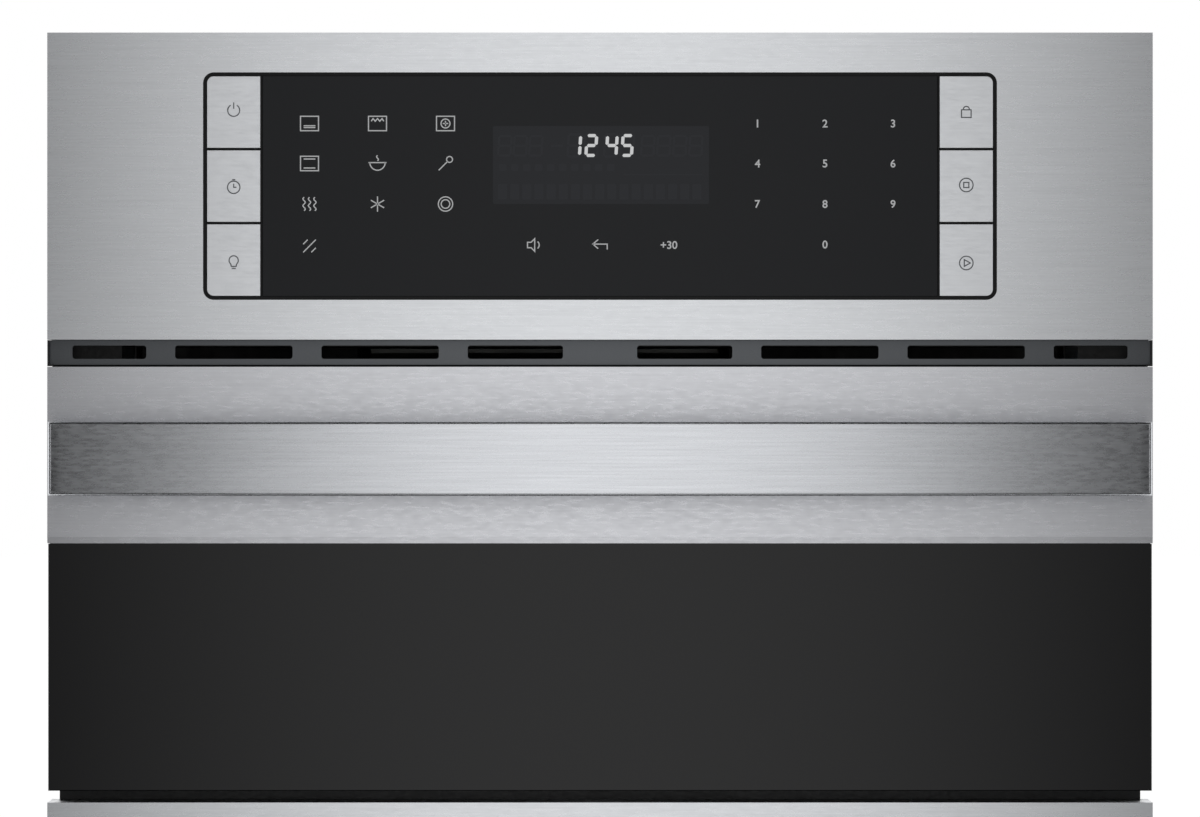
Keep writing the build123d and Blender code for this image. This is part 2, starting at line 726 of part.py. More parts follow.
# Door seal: a gasket on the lower cavity's rim, bevelled where the door meets it
seal_gap = 6.0
seal_width = 10.0
seal_bevel = 1.5
with BuildPart() as door_seal:
    with BuildSketch(face_plane(rim_front)):
        with Locations((0, z_lower_floor + lower_cavity_height / 2)):
            soft_rectangle(
                lower_cavity_width + 2 * (seal_gap + seal_width),
                lower_cavity_height + 2 * (seal_gap + seal_width),
                cavity_corner + seal_gap + seal_width,
            )
            soft_rectangle(
                lower_cavity_width + 2 * seal_gap,
                lower_cavity_height + 2 * seal_gap,
                cavity_corner + seal_gap,
                mode=Mode.SUBTRACT,
            )
    extrude(amount=door_back - rim_front - fit_gap)
    chamfer(door_seal.faces().sort_by(Axis.Y)[0].edges(), length=seal_bevel)
keep(door_seal, "door_seal")

# Convection fan covers: pressed baffles with a round grille and slots along the sides
upper_cover = (300.0, 160.0)
lower_cover = (440.0, 330.0)
cover_corner = 14.0
cover_slot_width = 5.0
upper_fan_radius = 54.0
lower_fan_radius = 88.0
grille_slots = 12
grille_share = 0.55  # length of a slot, and its middle's distance from the axis, in fan radii
side_slots = 5


def fan_cover(size, fan_radius, depth, z_centre):
    """Baffle open at the back, that stands on the cavity's back wall."""
    width, height = size
    with BuildPart() as cover:
        with BuildSketch(face_plane(-depth)):
            with Locations((0, z_centre)):
                soft_rectangle(width, height, cover_corner)
        extrude(amount=cover_depth)
        offset(amount=-sheet, openings=cover.faces().sort_by(Axis.Y)[-1])
        with BuildSketch(face_plane(cover_depth - depth - 2 * sheet)):
            with Locations((0, z_centre)):
                with PolarLocations(fan_radius * grille_share, grille_slots):
                    Rectangle(fan_radius * grille_share, cover_slot_width)
        extrude(amount=3 * sheet, mode=Mode.SUBTRACT)
        with BuildSketch(Plane.YZ.offset(-width)):
            with Locations((y_face + depth - cover_depth / 2, z_centre)):
                with GridLocations(0, height / (side_slots + 1), 1, side_slots):
                    Rectangle(cover_depth / 2, 2 * cover_slot_width)
        extrude(amount=2 * width, mode=Mode.SUBTRACT)
    return cover


z_upper_fan = z_upper_floor + upper_cavity_height / 2
z_lower_fan = z_lower_floor + lower_cavity_height / 2
upper_baffle = fan_cover(upper_cover, upper_fan_radius, upper_cavity_depth, z_upper_fan)
lower_baffle = fan_cover(lower_cover, lower_fan_radius, lower_cavity_depth, z_lower_fan)
with BuildPart() as fan_covers:
    add([upper_baffle.part, lower_baffle.part])
keep(fan_covers, "fan_covers")

# Convection fans: a backed wheel of bent blades on a shaft through the cavity's back wall
fan_stand = 6.0
fan_blades = 12
blade_thickness = 1.0
blade_lean = 25.0
blade_centre_share = 0.7  # distance of a blade's middle from the axis, in fan radii
blade_length_share = 0.5  # length of a blade, in fan radii
hub_radius = 9.0
shaft_grip = 12.0


def convection_fan(name, radius, depth, wool, z_centre):
    """Fan wheel with its shaft, which ends inside the motor's bore."""
    blade_depth = cover_depth - 2 * fan_stand - 2 * sheet
    with BuildPart() as fan:
        with BuildSketch(face_plane(fan_stand - depth)):
            with Locations((0, z_centre)):
                RegularPolygon(radius, fan_blades)
        extrude(amount=blade_thickness)
        with BuildSketch(face_plane(fan_stand - depth)):
            with Locations((0, z_centre)):
                with PolarLocations(radius * blade_centre_share, fan_blades):
                    Rectangle(radius * blade_length_share, blade_thickness, rotation=blade_lean)
        extrude(amount=blade_depth)
        with BuildSketch(face_plane(fan_stand - depth)):
            with Locations((0, z_centre)):
                RegularPolygon(hub_radius, fan_blades)
        extrude(amount=blade_depth / 2)
        with BuildSketch(face_plane(fan_stand - depth)):
            with Locations((0, z_centre)):
                RegularPolygon(shaft_radius, round_sides)
        extrude(amount=-(fan_stand + sheet + wool + shaft_grip))
    keep(fan, name)


convection_fan("upper_fan", upper_fan_radius, upper_cavity_depth, upper_wool, z_upper_fan)
convection_fan("lower_fan", lower_fan_radius, lower_cavity_depth, lower_wool, z_lower_fan)

# Cooling blowers: a crossflow wheel in a sheet housing that blows out through the vent strip
blower_radius = 28.0
blower_length = 250.0
blower_blades = 12
scroll_sides = 12
blower_blade_width = 7.0
blower_gap = 6.0
blower_depth = 190.0
blower_x = -40.0
blower_motor_radius = 26.0
blower_motor_length = 40.0
intake_height = 24.0
duct_flare = 60.0
duct_inset = 10.0  # the duct is this much narrower than its mouth in the face frame, on each side
duct_wide = duct_width - 2 * duct_inset
scroll_radius = blower_radius + blower_gap
foot_width = 30.0
y_blower = y_face + blower_depth


def blower_heights(z_vent):
    """Lower face of the blower's duct, and the height of its axis."""
    z_duct = z_vent + duct_margin
    return z_duct, z_duct + scroll_radius


def blower_housing(z_vent, z_tray):
    """Scroll with end plates, a flared flat duct to the face frame, and two feet on the tray."""
    z_duct, z_axis = blower_heights(z_vent)
    duct_height = vent_height - 2 * duct_margin - 2 * sheet
    y_mouth = y_face + fit_gap
    y_neck = y_blower - scroll_radius - duct_flare
    span = blower_length + 2 * blower_gap
    with BuildPart() as housing:
        for grow, mode in ((sheet, Mode.ADD), (0, Mode.SUBTRACT)):
            with BuildSketch(Plane.YZ.offset(blower_x - span / 2 - grow)):
                with Locations((y_blower, z_axis)):
                    RegularPolygon(scroll_radius + grow, scroll_sides)
                with Locations(((y_blower + y_neck) / 2, z_duct + duct_height / 2)):
                    Rectangle(y_blower - y_neck, duct_height + 2 * grow)
            extrude(amount=span + 2 * grow, mode=mode)
            with BuildSketch(Plane.XY.offset(z_duct - grow)):
                with BuildLine():
                    Polyline(
                        (blower_x - span / 2 - grow, y_neck + sheet),
                        (blower_x - span / 2 - grow, y_neck - sheet),
                        (-duct_wide / 2 - grow, y_face + duct_flare),
                        (-duct_wide / 2 - grow, y_mouth),
                        (duct_wide / 2 + grow, y_mouth),
                        (duct_wide / 2 + grow, y_face + duct_flare),
                        (blower_x + span / 2 + grow, y_neck - sheet),
                        (blower_x + span / 2 + grow, y_neck + sheet),
                        close=True,
                    )
                make_face()
            extrude(amount=duct_height + 2 * grow, mode=mode)
        with BuildSketch(Plane.XZ.offset(-y_blower)):
            with Locations((blower_x, z_axis + scroll_radius / 2)):
                Rectangle(blower_length, intake_height)
        extrude(amount=-2 * scroll_radius, mode=Mode.SUBTRACT)
        with BuildSketch(Plane.YZ.offset(blower_x - span)):
            with Locations((y_blower, z_axis)):
                bore(shaft_radius + shaft_fit)
        extrude(amount=2 * span, mode=Mode.SUBTRACT)
        with BuildSketch(Plane.XY.offset(z_tray + fit_gap)):
            with Locations((blower_x, y_blower)):
                with GridLocations(span - foot_width, 0, 2, 1):
                    Rectangle(foot_width, foot_width)
        extrude(amount=z_duct - sheet / 2 - z_tray - fit_gap)
    return housing


def blower_wheel(name, z_vent):
    """Crossflow wheel: a drum of narrow blades between end discs, on a through shaft."""
    z_axis = blower_heights(z_vent)[1]
    with BuildPart() as wheel:
        with BuildSketch(Plane.YZ.offset(blower_x - blower_length / 2)):
            with Locations((y_blower, z_axis)):
                with PolarLocations(blower_radius - blower_blade_width / 2, blower_blades):
                    Rectangle(blower_blade_width, blade_thickness, rotation=blade_lean)
        extrude(amount=blower_length)
        for place in (-blower_length / 2, blower_length / 2 - sheet):
            with BuildSketch(Plane.YZ.offset(blower_x + place)):
                with Locations((y_blower, z_axis)):
                    RegularPolygon(blower_radius, blower_blades)
            extrude(amount=sheet)
        with BuildSketch(Plane.YZ.offset(blower_x - blower_length / 2 - blower_gap - 2 * sheet)):
            with Locations((y_blower, z_axis)):
                RegularPolygon(shaft_radius, round_sides)
        extrude(amount=blower_length + 2 * blower_gap + 2 * sheet + shaft_grip)
    keep(wheel, name)


upper_housing = blower_housing(z_upper_vent, z_shelf_high + sheet)
lower_housing = blower_housing(z_lower_vent, z_shelf_low + sheet)
with BuildPart() as blower_housings:
    add([upper_housing.part, lower_housing.part])
keep(blower_housings, "blower_housings")
blower_wheel("upper_blower", z_upper_vent)
blower_wheel("lower_blower", z_lower_vent)

# Turntable: a glass plate on a driven coupler, over a ring that rolls on three rollers
plate_radius = 172.0
plate_thickness = 5.0
plate_rim = 12.0  # height and reach of the sloping rim
plate_sides = 24
rim_lean = 45.0
roller_radius = 7.0
roller_width = 8.0
roller_circle = 108.0
ring_radius = 98.0
ring_width = 6.0
coupler_radius = 24.0
coupler_hub = 9.0
z_plate = z_upper_floor + 2 * (roller_radius + fit_gap)
with BuildPart() as turntable_plate:
    with BuildSketch(Plane.XY.offset(z_plate)):
        with Locations((0, turntable_y)):
            RegularPolygon(plate_radius - plate_rim, plate_sides)
    extrude(amount=plate_rim, taper=-rim_lean)
    with BuildSketch(Plane.XY.offset(z_plate + plate_thickness)):
        with Locations((0, turntable_y)):
            RegularPolygon(plate_radius - plate_rim, plate_sides)
    extrude(amount=plate_rim - plate_thickness, taper=-rim_lean, mode=Mode.SUBTRACT)
keep(turntable_plate, "turntable_plate")

with BuildPart() as roller:
    with BuildSketch(Plane.YZ):
        RegularPolygon(roller_radius, round_sides)
    extrude(amount=roller_width / 2, both=True)

with BuildPart() as roller_ring:
    with BuildSketch(Plane.XY.offset(z_upper_floor + roller_radius + fit_gap - ring_width / 4)):
        with Locations((0, turntable_y)):
            RegularPolygon(ring_radius, plate_sides)
            RegularPolygon(ring_radius - ring_width, plate_sides, mode=Mode.SUBTRACT)
    extrude(amount=ring_width / 2)
    with Locations((0, turntable_y, z_upper_floor + roller_radius + fit_gap)):
        with PolarLocations(roller_circle, 3):
            add(roller.part)
        with PolarLocations((ring_radius + roller_circle) / 2, 3):
            Box(roller_circle - ring_radius + ring_width, ring_width / 2, ring_width / 2)
keep(roller_ring, "roller_ring")

with BuildPart() as turntable_coupler:
    with BuildSketch(Plane.XY.offset(z_upper_floor + 2 * fit_gap)):
        with Locations((0, turntable_y)):
            RegularPolygon(coupler_hub, round_sides)
            with PolarLocations(coupler_radius / 2, 3):
                Rectangle(coupler_radius, coupler_hub)
    extrude(amount=z_plate - z_upper_floor - 3 * fit_gap)
    with BuildSketch(Plane.XY.offset(z_upper_floor + 2 * fit_gap)):
        with Locations((0, turntable_y)):
            RegularPolygon(shaft_radius, round_sides)
    extrude(amount=-(sheet + 3 * fit_gap + shaft_grip))
keep(turntable_coupler, "turntable_coupler")

# Motors: one behind each convection fan, one under the turntable and one beside each blower
fan_motor_radius = 32.0
fan_motor_length = 42.0
motor_sides = 8


def fan_motor(depth, wool, z_centre):
    """Motor on a round plate behind the wool, on three standoffs from the cavity's back wall."""
    z_plane = face_plane(-(depth + sheet + wool + fit_gap))
    with BuildPart() as motor:
        with BuildSketch(z_plane):
            with Locations((0, z_centre)):
                RegularPolygon(motor_plate_radius, motor_sides)
        extrude(amount=-2 * sheet)
        with BuildSketch(z_plane):
            with Locations((0, z_centre)):
                RegularPolygon(fan_motor_radius, motor_sides)
        extrude(amount=-fan_motor_length)
        with BuildSketch(z_plane):
            with Locations((0, z_centre)):
                with PolarLocations(standoff_circle, 3):
                    RegularPolygon(standoff_radius, 6)
        extrude(amount=wool)
        with BuildSketch(z_plane):
            with Locations((0, z_centre)):
                bore(shaft_radius + shaft_fit)
        extrude(amount=-(shaft_grip + 2 * sheet), mode=Mode.SUBTRACT)
    return motor


def blower_motor(z_vent):
    """Motor against the blower housing's right end plate."""
    z_axis = blower_heights(z_vent)[1]
    x_plate = blower_x + blower_length / 2 + blower_gap + sheet
    with BuildPart() as motor:
        with BuildSketch(Plane.YZ.offset(x_plate)):
            with Locations((y_blower, z_axis)):
                RegularPolygon(blower_motor_radius, motor_sides)
        extrude(amount=blower_motor_length)
        with BuildSketch(Plane.YZ.offset(x_plate)):
            with Locations((y_blower, z_axis)):
                bore(shaft_radius + shaft_fit)
        extrude(amount=shaft_grip + 2 * sheet, mode=Mode.SUBTRACT)
    return motor


with BuildPart() as turntable_motor:
    with BuildSketch(Plane.XY.offset(z_upper_floor - sheet - fit_gap)):
        with Locations((0, turntable_y)):
            RegularPolygon(turntable_motor_radius, round_sides)
    extrude(amount=-turntable_motor_height)
    with BuildSketch(Plane.XY.offset(z_upper_floor - sheet - fit_gap)):
        with Locations((0, turntable_y)):
            bore(shaft_radius + shaft_fit)
    extrude(amount=-(shaft_grip + sheet), mode=Mode.SUBTRACT)
upper_fan_motor = fan_motor(upper_cavity_depth, upper_wool, z_upper_fan)
lower_fan_motor = fan_motor(lower_cavity_depth, lower_wool, z_lower_fan)
upper_blower_motor = blower_motor(z_upper_vent)
lower_blower_motor = blower_motor(z_lower_vent)
with BuildPart() as motors:
    add([turntable_motor.part, upper_fan_motor.part, lower_fan_motor.part])
    add([upper_blower_motor.part, lower_blower_motor.part])
keep(motors, "motors")

# Magnetron: on the waveguide's flank, with cooling fins and its antenna dome in the waveguide
magnetron_width = 78.0
magnetron_depth = 84.0
fin_gaps = 6
fin_pitch = 10.9
fin_gap = 5.7
fin_margin = 3.6
core_radius = 17.0
antenna_reach = 24.0
x_wave_wall = upper_cavity_width / 2 + sheet
z_antenna = waveguide_top - antenna_drop
magnetron_low = z_shelf_high + sheet + fit_gap
with BuildPart() as magnetron:
    with BuildSketch(Plane.XY.offset(magnetron_low)):
        with Locations((x_wave_wall - fit_gap - magnetron_width / 2, waveguide_y)):
            Rectangle(magnetron_width, magnetron_depth)
    extrude(amount=2 * (z_antenna - magnetron_low))
    with BuildSketch(Plane.XZ.offset(-(waveguide_y - magnetron_depth))):
        with Locations((x_wave_wall - fit_gap - magnetron_width / 2, z_antenna)):
            with GridLocations(0, fin_pitch, 1, fin_gaps):
                Rectangle(magnetron_width - 2 * fin_margin, fin_gap)
    extrude(amount=-2 * magnetron_depth, mode=Mode.SUBTRACT)
    with BuildSketch(Plane.YZ.offset(x_wave_wall - magnetron_width)):
        with Locations((waveguide_y, z_antenna)):
            RegularPolygon(core_radius, round_sides)
    extrude(amount=magnetron_width - fit_gap)
    with BuildSketch(Plane.YZ.offset(x_wave_wall - fit_gap)):
        with Locations((waveguide_y, z_antenna)):
            RegularPolygon(antenna_radius, round_sides)
    extrude(amount=antenna_reach)
keep(magnetron, "magnetron")

# High voltage transformer: laminated core with two windings, on the top tray
core_width = 96.0
core_depth = 74.0
core_height = 82.0
core_leg = 16.0
winding_swell = 14.0
transformer_x = -275.0
transformer_depth = 360.0
transformer_y = y_face + transformer_depth
with BuildPart() as transformer:
    with BuildSketch(Plane.XZ.offset(core_depth / 2 - transformer_y)):
        with Locations((transformer_x, z_shelf_high + sheet + fit_gap + core_height / 2)):
            Rectangle(core_width, core_height)
            with GridLocations((core_width - core_leg) / 2, 0, 2, 1):
                Rectangle(core_leg, core_height - 2 * core_leg, mode=Mode.SUBTRACT)
    extrude(amount=-core_depth)
    with BuildSketch(Plane.XY.offset(z_shelf_high + sheet + fit_gap + core_leg)):
        with Locations((transformer_x, transformer_y)):
            soft_rectangle(core_width - 2 * core_leg, core_depth + 2 * winding_swell, winding_swell)
    extrude(amount=core_height - 2 * core_leg)
keep(transformer, "transformer")

# Control inserts: a moulded bezel on each control panel, with keys at both sides of a touch glass
fascia_lip = 16.0
boss_inset = 20.0
stem_slack = 0.1
glass_width = insert_width - 2 * (insert_rim + key_width + glass_rib) - 6 * key_gap


def insert_height(rows):
    """Outer height of a bezel that holds so many rows of keys."""
    return 2 * insert_rim + rows * (key_height + 2 * key_gap) + (rows - 1) * key_rib


def key_place(row, rows, side):
    """Centre of a key from the centre of its insert, with row 0 at the top and side -1 at the left."""
    x = side * (insert_width / 2 - insert_rim - key_gap - key_width / 2)
    return x, ((rows - 1) / 2 - row) * (key_height + 2 * key_gap + key_rib)


def make_fascia(name, z_low, height, rows):
    """Steel control panel: a sheet folded back on all sides, with a lip that lies on the face frame."""
    opening = (insert_width + 2 * fit_gap, insert_height(rows) + 2 * fit_gap)
    with BuildPart() as fascia:
        with BuildSketch(face_plane(fascia_back)):
            with Locations((0, z_low + height / 2)):
                Rectangle(front_width, height)
        extrude(amount=front_proud - fascia_back)
        with BuildSketch(face_plane(fascia_back)):
            with Locations((0, z_low + height / 2)):
                Rectangle(front_width - 2 * fascia_lip, height - 2 * fascia_lip)
        extrude(amount=sheet, mode=Mode.SUBTRACT)
        with BuildSketch(face_plane(fascia_back + sheet)):
            with Locations((0, z_low + height / 2)):
                Rectangle(front_width - 2 * sheet, height - 2 * sheet)
        extrude(amount=front_proud - fascia_back - 2 * sheet, mode=Mode.SUBTRACT)
        with BuildSketch(face_plane(front_proud - 2 * sheet)):
            with Locations((0, z_low + height / 2)):
                RectangleRounded(*opening, insert_radius + fit_gap)
        extrude(amount=3 * sheet, mode=Mode.SUBTRACT)
    keep(fascia, name)


make_fascia("upper_fascia", z_upper_fascia, upper_fascia_height, upper_rows)
make_fascia("lower_fascia", z_lower_fascia, lower_fascia_height, lower_rows)


def make_bezel(rows, z_centre, display_rise):
    """Black moulded frame: a well for each key, a well for the glass, and bosses for the board."""
    height = insert_height(rows)
    inner_height = height - 2 * insert_rim
    places = [key_place(row, rows, side) for row in range(rows) for side in (-1, 1)]
    with BuildPart() as bezel:
        with BuildSketch(face_plane(insert_back)):
            with Locations((0, z_centre)):
                RectangleRounded(insert_width, height, insert_radius)
        extrude(amount=insert_depth)
        with BuildSketch(face_plane(front_proud - sheet - fit_gap)):
            with Locations((0, z_centre)):
                Rectangle(insert_width + 2 * insert_flange, height + 2 * insert_flange)
        extrude(amount=-insert_flange_thickness)
        for x, z in places:
            with BuildSketch(face_plane(front_proud)):
                with Locations((0, z_centre)):
                    RectangleRounded(
                        insert_width - 2 * insert_rim, inner_height, insert_radius - insert_rim
                    )
                with Locations((x, z_centre + z)):
                    Rectangle(key_width + 2 * key_gap, key_height + 2 * key_gap, mode=Mode.INTERSECT)
            extrude(amount=-key_pocket, mode=Mode.SUBTRACT)
        with BuildSketch(face_plane(front_proud)):
            with Locations((0, z_centre)):
                Rectangle(glass_width + 2 * key_gap, inner_height)
        extrude(amount=-(touch_thickness + fit_gap), mode=Mode.SUBTRACT)
        with BuildSketch(face_plane(front_proud)):
            with Locations((0, z_centre + display_rise)):
                Rectangle(display_width + 2 * key_gap, display_height + 2 * key_gap)
            with Locations(*[(x, z_centre + z) for x, z in places]):
                Rectangle(*[stem_side + 2 * key_gap] * 2)
        extrude(amount=-insert_depth, mode=Mode.SUBTRACT)
        with BuildSketch(face_plane(insert_back)):
            with Locations((0, z_centre)):
                with GridLocations(glass_width - 2 * boss_inset, height - 2 * boss_inset, 2, 2):
                    Rectangle(boss_side, boss_side)
        extrude(amount=-(board_gap - fit_gap))
    return bezel


upper_bezel = make_bezel(upper_rows, z_upper_insert, upper_display_rise)
lower_bezel = make_bezel(lower_rows, z_lower_insert, lower_display_rise)
with BuildPart() as insert_bezels:
    add([upper_bezel.part, lower_bezel.part])
keep(insert_bezels, "insert_bezels")

# Touch glasses: black glass between the two columns of keys
with BuildPart() as touch_glasses:
    with BuildSketch(face_plane(front_proud - touch_thickness)):
        for rows, z_centre in ((upper_rows, z_upper_insert), (lower_rows, z_lower_insert)):
            with Locations((0, z_centre)):
                Rectangle(glass_width, insert_height(rows) - 2 * (insert_rim + key_gap))
    extrude(amount=touch_thickness)
keep(touch_glasses, "touch_glasses")

# Control boards: each with its display block and a switch behind every key
inserts = (
    (upper_rows, z_upper_insert, upper_display_rise),
    (lower_rows, z_lower_insert, lower_display_rise),
)
with BuildPart() as control_boards:
    for rows, z_centre, display_rise in inserts:
        with BuildSketch(face_plane(board_front)):
            with Locations((0, z_centre)):
                Rectangle(insert_width - 2 * board_margin, insert_height(rows) - 2 * board_margin)
        extrude(amount=-board_thickness)
        with BuildSketch(face_plane(board_front)):
            with Locations((0, z_centre + display_rise)):
                Rectangle(display_width, display_height)
        extrude(amount=front_proud - touch_thickness - fit_gap - board_front)
        with BuildSketch(face_plane(board_front)):
            for row in range(rows):
                for side in (-1, 1):
                    x, z = key_place(row, rows, side)
                    with Locations((x, z_centre + z)):
                        Rectangle(switch_side, switch_side)
        extrude(amount=switch_height)
keep(control_boards, "control_boards")


def make_key(name, row, rows, side, z_centre):
    """Steel key cap, hollow at the back, with the stem that presses its switch."""
    x, z = key_place(row, rows, side)
    shrink = insert_rim + key_gap
    stem_back = board_front + switch_height + key_travel + stem_slack
    with BuildPart() as key:
        with BuildSketch(face_plane(front_proud)):
            with Locations((0, z_centre)):
                RectangleRounded(
                    insert_width - 2 * shrink, insert_height(rows) - 2 * shrink, insert_radius - shrink
                )
            with Locations((x, z_centre + z)):
                Rectangle(key_width, key_height, mode=Mode.INTERSECT)
        extrude(amount=-key_depth)
        chamfer(key.faces().sort_by(Axis.Y)[0].edges(), length=key_bevel)
        with BuildSketch(face_plane(front_proud - key_depth)):
            with Locations((x, z_centre + z)):
                Rectangle(key_width - 2 * key_rim, key_height - 2 * key_rim)
        extrude(amount=key_depth - key_wall, mode=Mode.SUBTRACT)
        with BuildSketch(face_plane(front_proud - key_wall)):
            with Locations((x, z_centre + z)):
                Rectangle(stem_side, stem_side)
        extrude(amount=-(front_proud - key_wall - stem_back))
    keep(key, name)


key_rows = ("top", "middle", "bottom")
for side, side_name in ((-1, "left"), (1, "right")):
    for row in range(upper_rows):
        make_key(f"upper_key_{side_name}_{key_rows[row]}", row, upper_rows, side, z_upper_insert)
    for row in range(lower_rows):
        make_key(f"lower_key_{side_name}_{key_rows[2 * row]}", row, lower_rows, side, z_lower_insert)

# Vent trims: recessed channels with a row of slots, over each door
vent_recess = 12.0
vent_door_gap = 1.5
slot_height = 9.2
slot_radius = 2.0
slot_rise = 0.8
slot_lengths = (65.3, 80.5, 80.5, 50.6)
slot_bar = 19.8
centre_bar = 50.8
trim_end = 1.0
trim_lip = 10.0
vent_front = front_proud - vent_recess
with BuildPart() as vent_trims:
    for z_vent in (z_lower_vent, z_upper_vent):
        z_low = z_vent + vent_door_gap
        trim_height = vent_height - vent_door_gap - fit_gap
        with BuildSketch(face_plane(fascia_back)):
            with Locations((0, z_low + trim_height / 2)):
                Rectangle(front_width - 2 * trim_end, trim_height)
        extrude(amount=vent_front - fascia_back)
        with BuildSketch(face_plane(fascia_back)):
            with Locations((0, z_low + trim_height / 2)):
                Rectangle(front_width - 2 * (trim_end + sheet), trim_height - 2 * sheet)
        extrude(amount=vent_front - fascia_back - sheet, mode=Mode.SUBTRACT)
        with BuildSketch(face_plane(vent_front - 2 * sheet)):
            place = centre_bar / 2
            for length in slot_lengths:
                with Locations((0, z_vent + vent_height / 2 + slot_rise)):
                    with GridLocations(2 * place + length, 0, 2, 1):
                        soft_rectangle(length, slot_height, slot_radius)
                place += length + slot_bar
        extrude(amount=3 * sheet, mode=Mode.SUBTRACT)
keep(vent_trims, "vent_trims")

# Bottom trim: the folded strip under the lower door
with BuildPart() as bottom_trim:
    with BuildSketch(face_plane(fascia_back)):
        with Locations((0, floor_clear + bottom_trim_height / 2)):
            Rectangle(front_width, bottom_trim_height)
    extrude(amount=front_proud - fascia_back)
    with BuildSketch(face_plane(fascia_back)):
        with Locations((0, floor_clear + bottom_trim_height / 2)):
            Rectangle(front_width - 2 * trim_lip, bottom_trim_height - 2 * trim_lip)
    extrude(amount=sheet, mode=Mode.SUBTRACT)
    with BuildSketch(face_plane(fascia_back + sheet)):
        with Locations((0, floor_clear + bottom_trim_height / 2)):
            Rectangle(front_width - 2 * sheet, bottom_trim_height - 2 * sheet)
    extrude(amount=front_proud - fascia_back - 2 * sheet, mode=Mode.SUBTRACT)
keep(bottom_trim, "bottom_trim")

# Hinge arms: fixed in receivers behind the face frame, each with the eye that the door turns on
with BuildPart() as hinge_arms:
    for z_door in (z_lower_door, z_upper_door):
        z_pivot = z_door + pivot_rise
        with BuildSketch(Plane.YZ.offset(hinge_x - arm_thickness / 2)):
            with Locations((y_face - pivot_ahead / 2 + arm_depth / 2, z_pivot)):
                Rectangle(pivot_ahead + arm_depth, 2 * arm_radius)
            with Locations((y_face - pivot_ahead, z_pivot)):
                RegularPolygon(arm_radius, 8)
                bore(pin_radius + pin_clearance, mode=Mode.SUBTRACT)
        extrude(amount=arm_thickness)
        with BuildSketch(Plane.YZ.offset(hinge_x - receiver_width / 2)):
            with Locations((y_face + arm_depth / 2 + fit_gap / 2, z_pivot)):
                Rectangle(arm_depth - fit_gap, receiver_height)
                Rectangle(
                    arm_depth - fit_gap - 2 * sheet, receiver_height - 2 * sheet, mode=Mode.SUBTRACT
                )
        extrude(amount=receiver_width)
    mirror(about=Plane.YZ)
keep(hinge_arms, "hinge_arms")

# Interlock blocks: behind the face frame, each with a throat for a latch hook of the upper door
hook_thickness = 3.0
hook_height = 12.0
hook_reach = 22.0
hook_head = 6.0
block_width = 20.0
block_depth = 36.0
throat_depth = 24.0
z_latch = z_upper_vent - latch_drop
block_low = z_latch - latch_slot_height / 2 - hook_head
block_high = z_shelf_high - fit_gap
with BuildPart() as interlock_blocks:
    with BuildSketch(face_plane(-fit_gap)):
        with Locations((latch_x, (block_low + block_high) / 2)):
            Rectangle(block_width, block_high - block_low)
    extrude(amount=-block_depth)
    with BuildSketch(face_plane(-fit_gap)):
        with Locations((latch_x, z_latch)):
            Rectangle(latch_slot_width, latch_slot_height)
    extrude(amount=-throat_depth, mode=Mode.SUBTRACT)
    mirror(about=Plane.YZ)
keep(interlock_blocks, "interlock_blocks")

# Doors: a steel band over black glass, on a pressed pan that carries the window and the hinges
glass_side = 0.5
glass_lap = 18.0  # the glass runs up behind the steel
pane_thickness = 4.0
pane_lap = 10.0
window_corner = 12.0
choke_gap = 2.0
choke_width = 20.0
choke_reach = door_back - rim_front - fit_gap
cheek_sheet = 2.0
cheek_back = door_back + sheet + fit_gap
cheek_front = pan_front - fit_gap
cheek_height = 95.0
web_rise = arm_radius + arm_gap
upper_window = (430.0, 150.0)
lower_window = (500.0, 260.0)
lower_window_drop = 20.0  # under the middle of the cavity
z_upper_window = z_upper_floor + upper_cavity_height / 2
z_lower_window = z_lower_floor + lower_cavity_height / 2 - lower_window_drop


def bar_reach(x):
    """How far the front of the bowed handle stands ahead of the door's steel at x."""
    half = front_width / 2 - handle_inset
    radius = (half**2 + handle_bow**2) / (2 * handle_bow)
    return handle_reach - radius + sqrt(radius**2 - x**2)


def make_handle(name, z_top):
    """Flat bar bowed in plan, with rounded edges and two posts to the door's steel."""
    half = front_width / 2 - handle_inset
    crown = y_face - front_proud - handle_reach
    ends = crown + handle_bow
    post_x = half - post_inset
    z_low = z_top - handle_drop - handle_height
    with BuildPart() as handle:
        with BuildSketch(Plane.XY.offset(z_low)):
            with BuildLine():
                ThreePointArc((-half, ends), (0, crown), (half, ends))
                Line((half, ends), (half, ends + handle_thickness))
                ThreePointArc(
                    (half, ends + handle_thickness),
                    (0, crown + handle_thickness),
                    (-half, ends + handle_thickness),
                )
                Line((-half, ends + handle_thickness), (-half, ends))
            make_face()
        extrude(amount=handle_height)
        fillet(handle.faces().sort_by(Axis.Y)[0].edges(), radius=handle_round)
        with BuildSketch(face_plane(front_proud)):
            with Locations((0, z_low + handle_height / 2)):
                with GridLocations(2 * post_x, 0, 2, 1):
                    Rectangle(post_width, post_height)
        extrude(amount=bar_reach(post_x) - handle_thickness / 2)
    keep(handle, name)


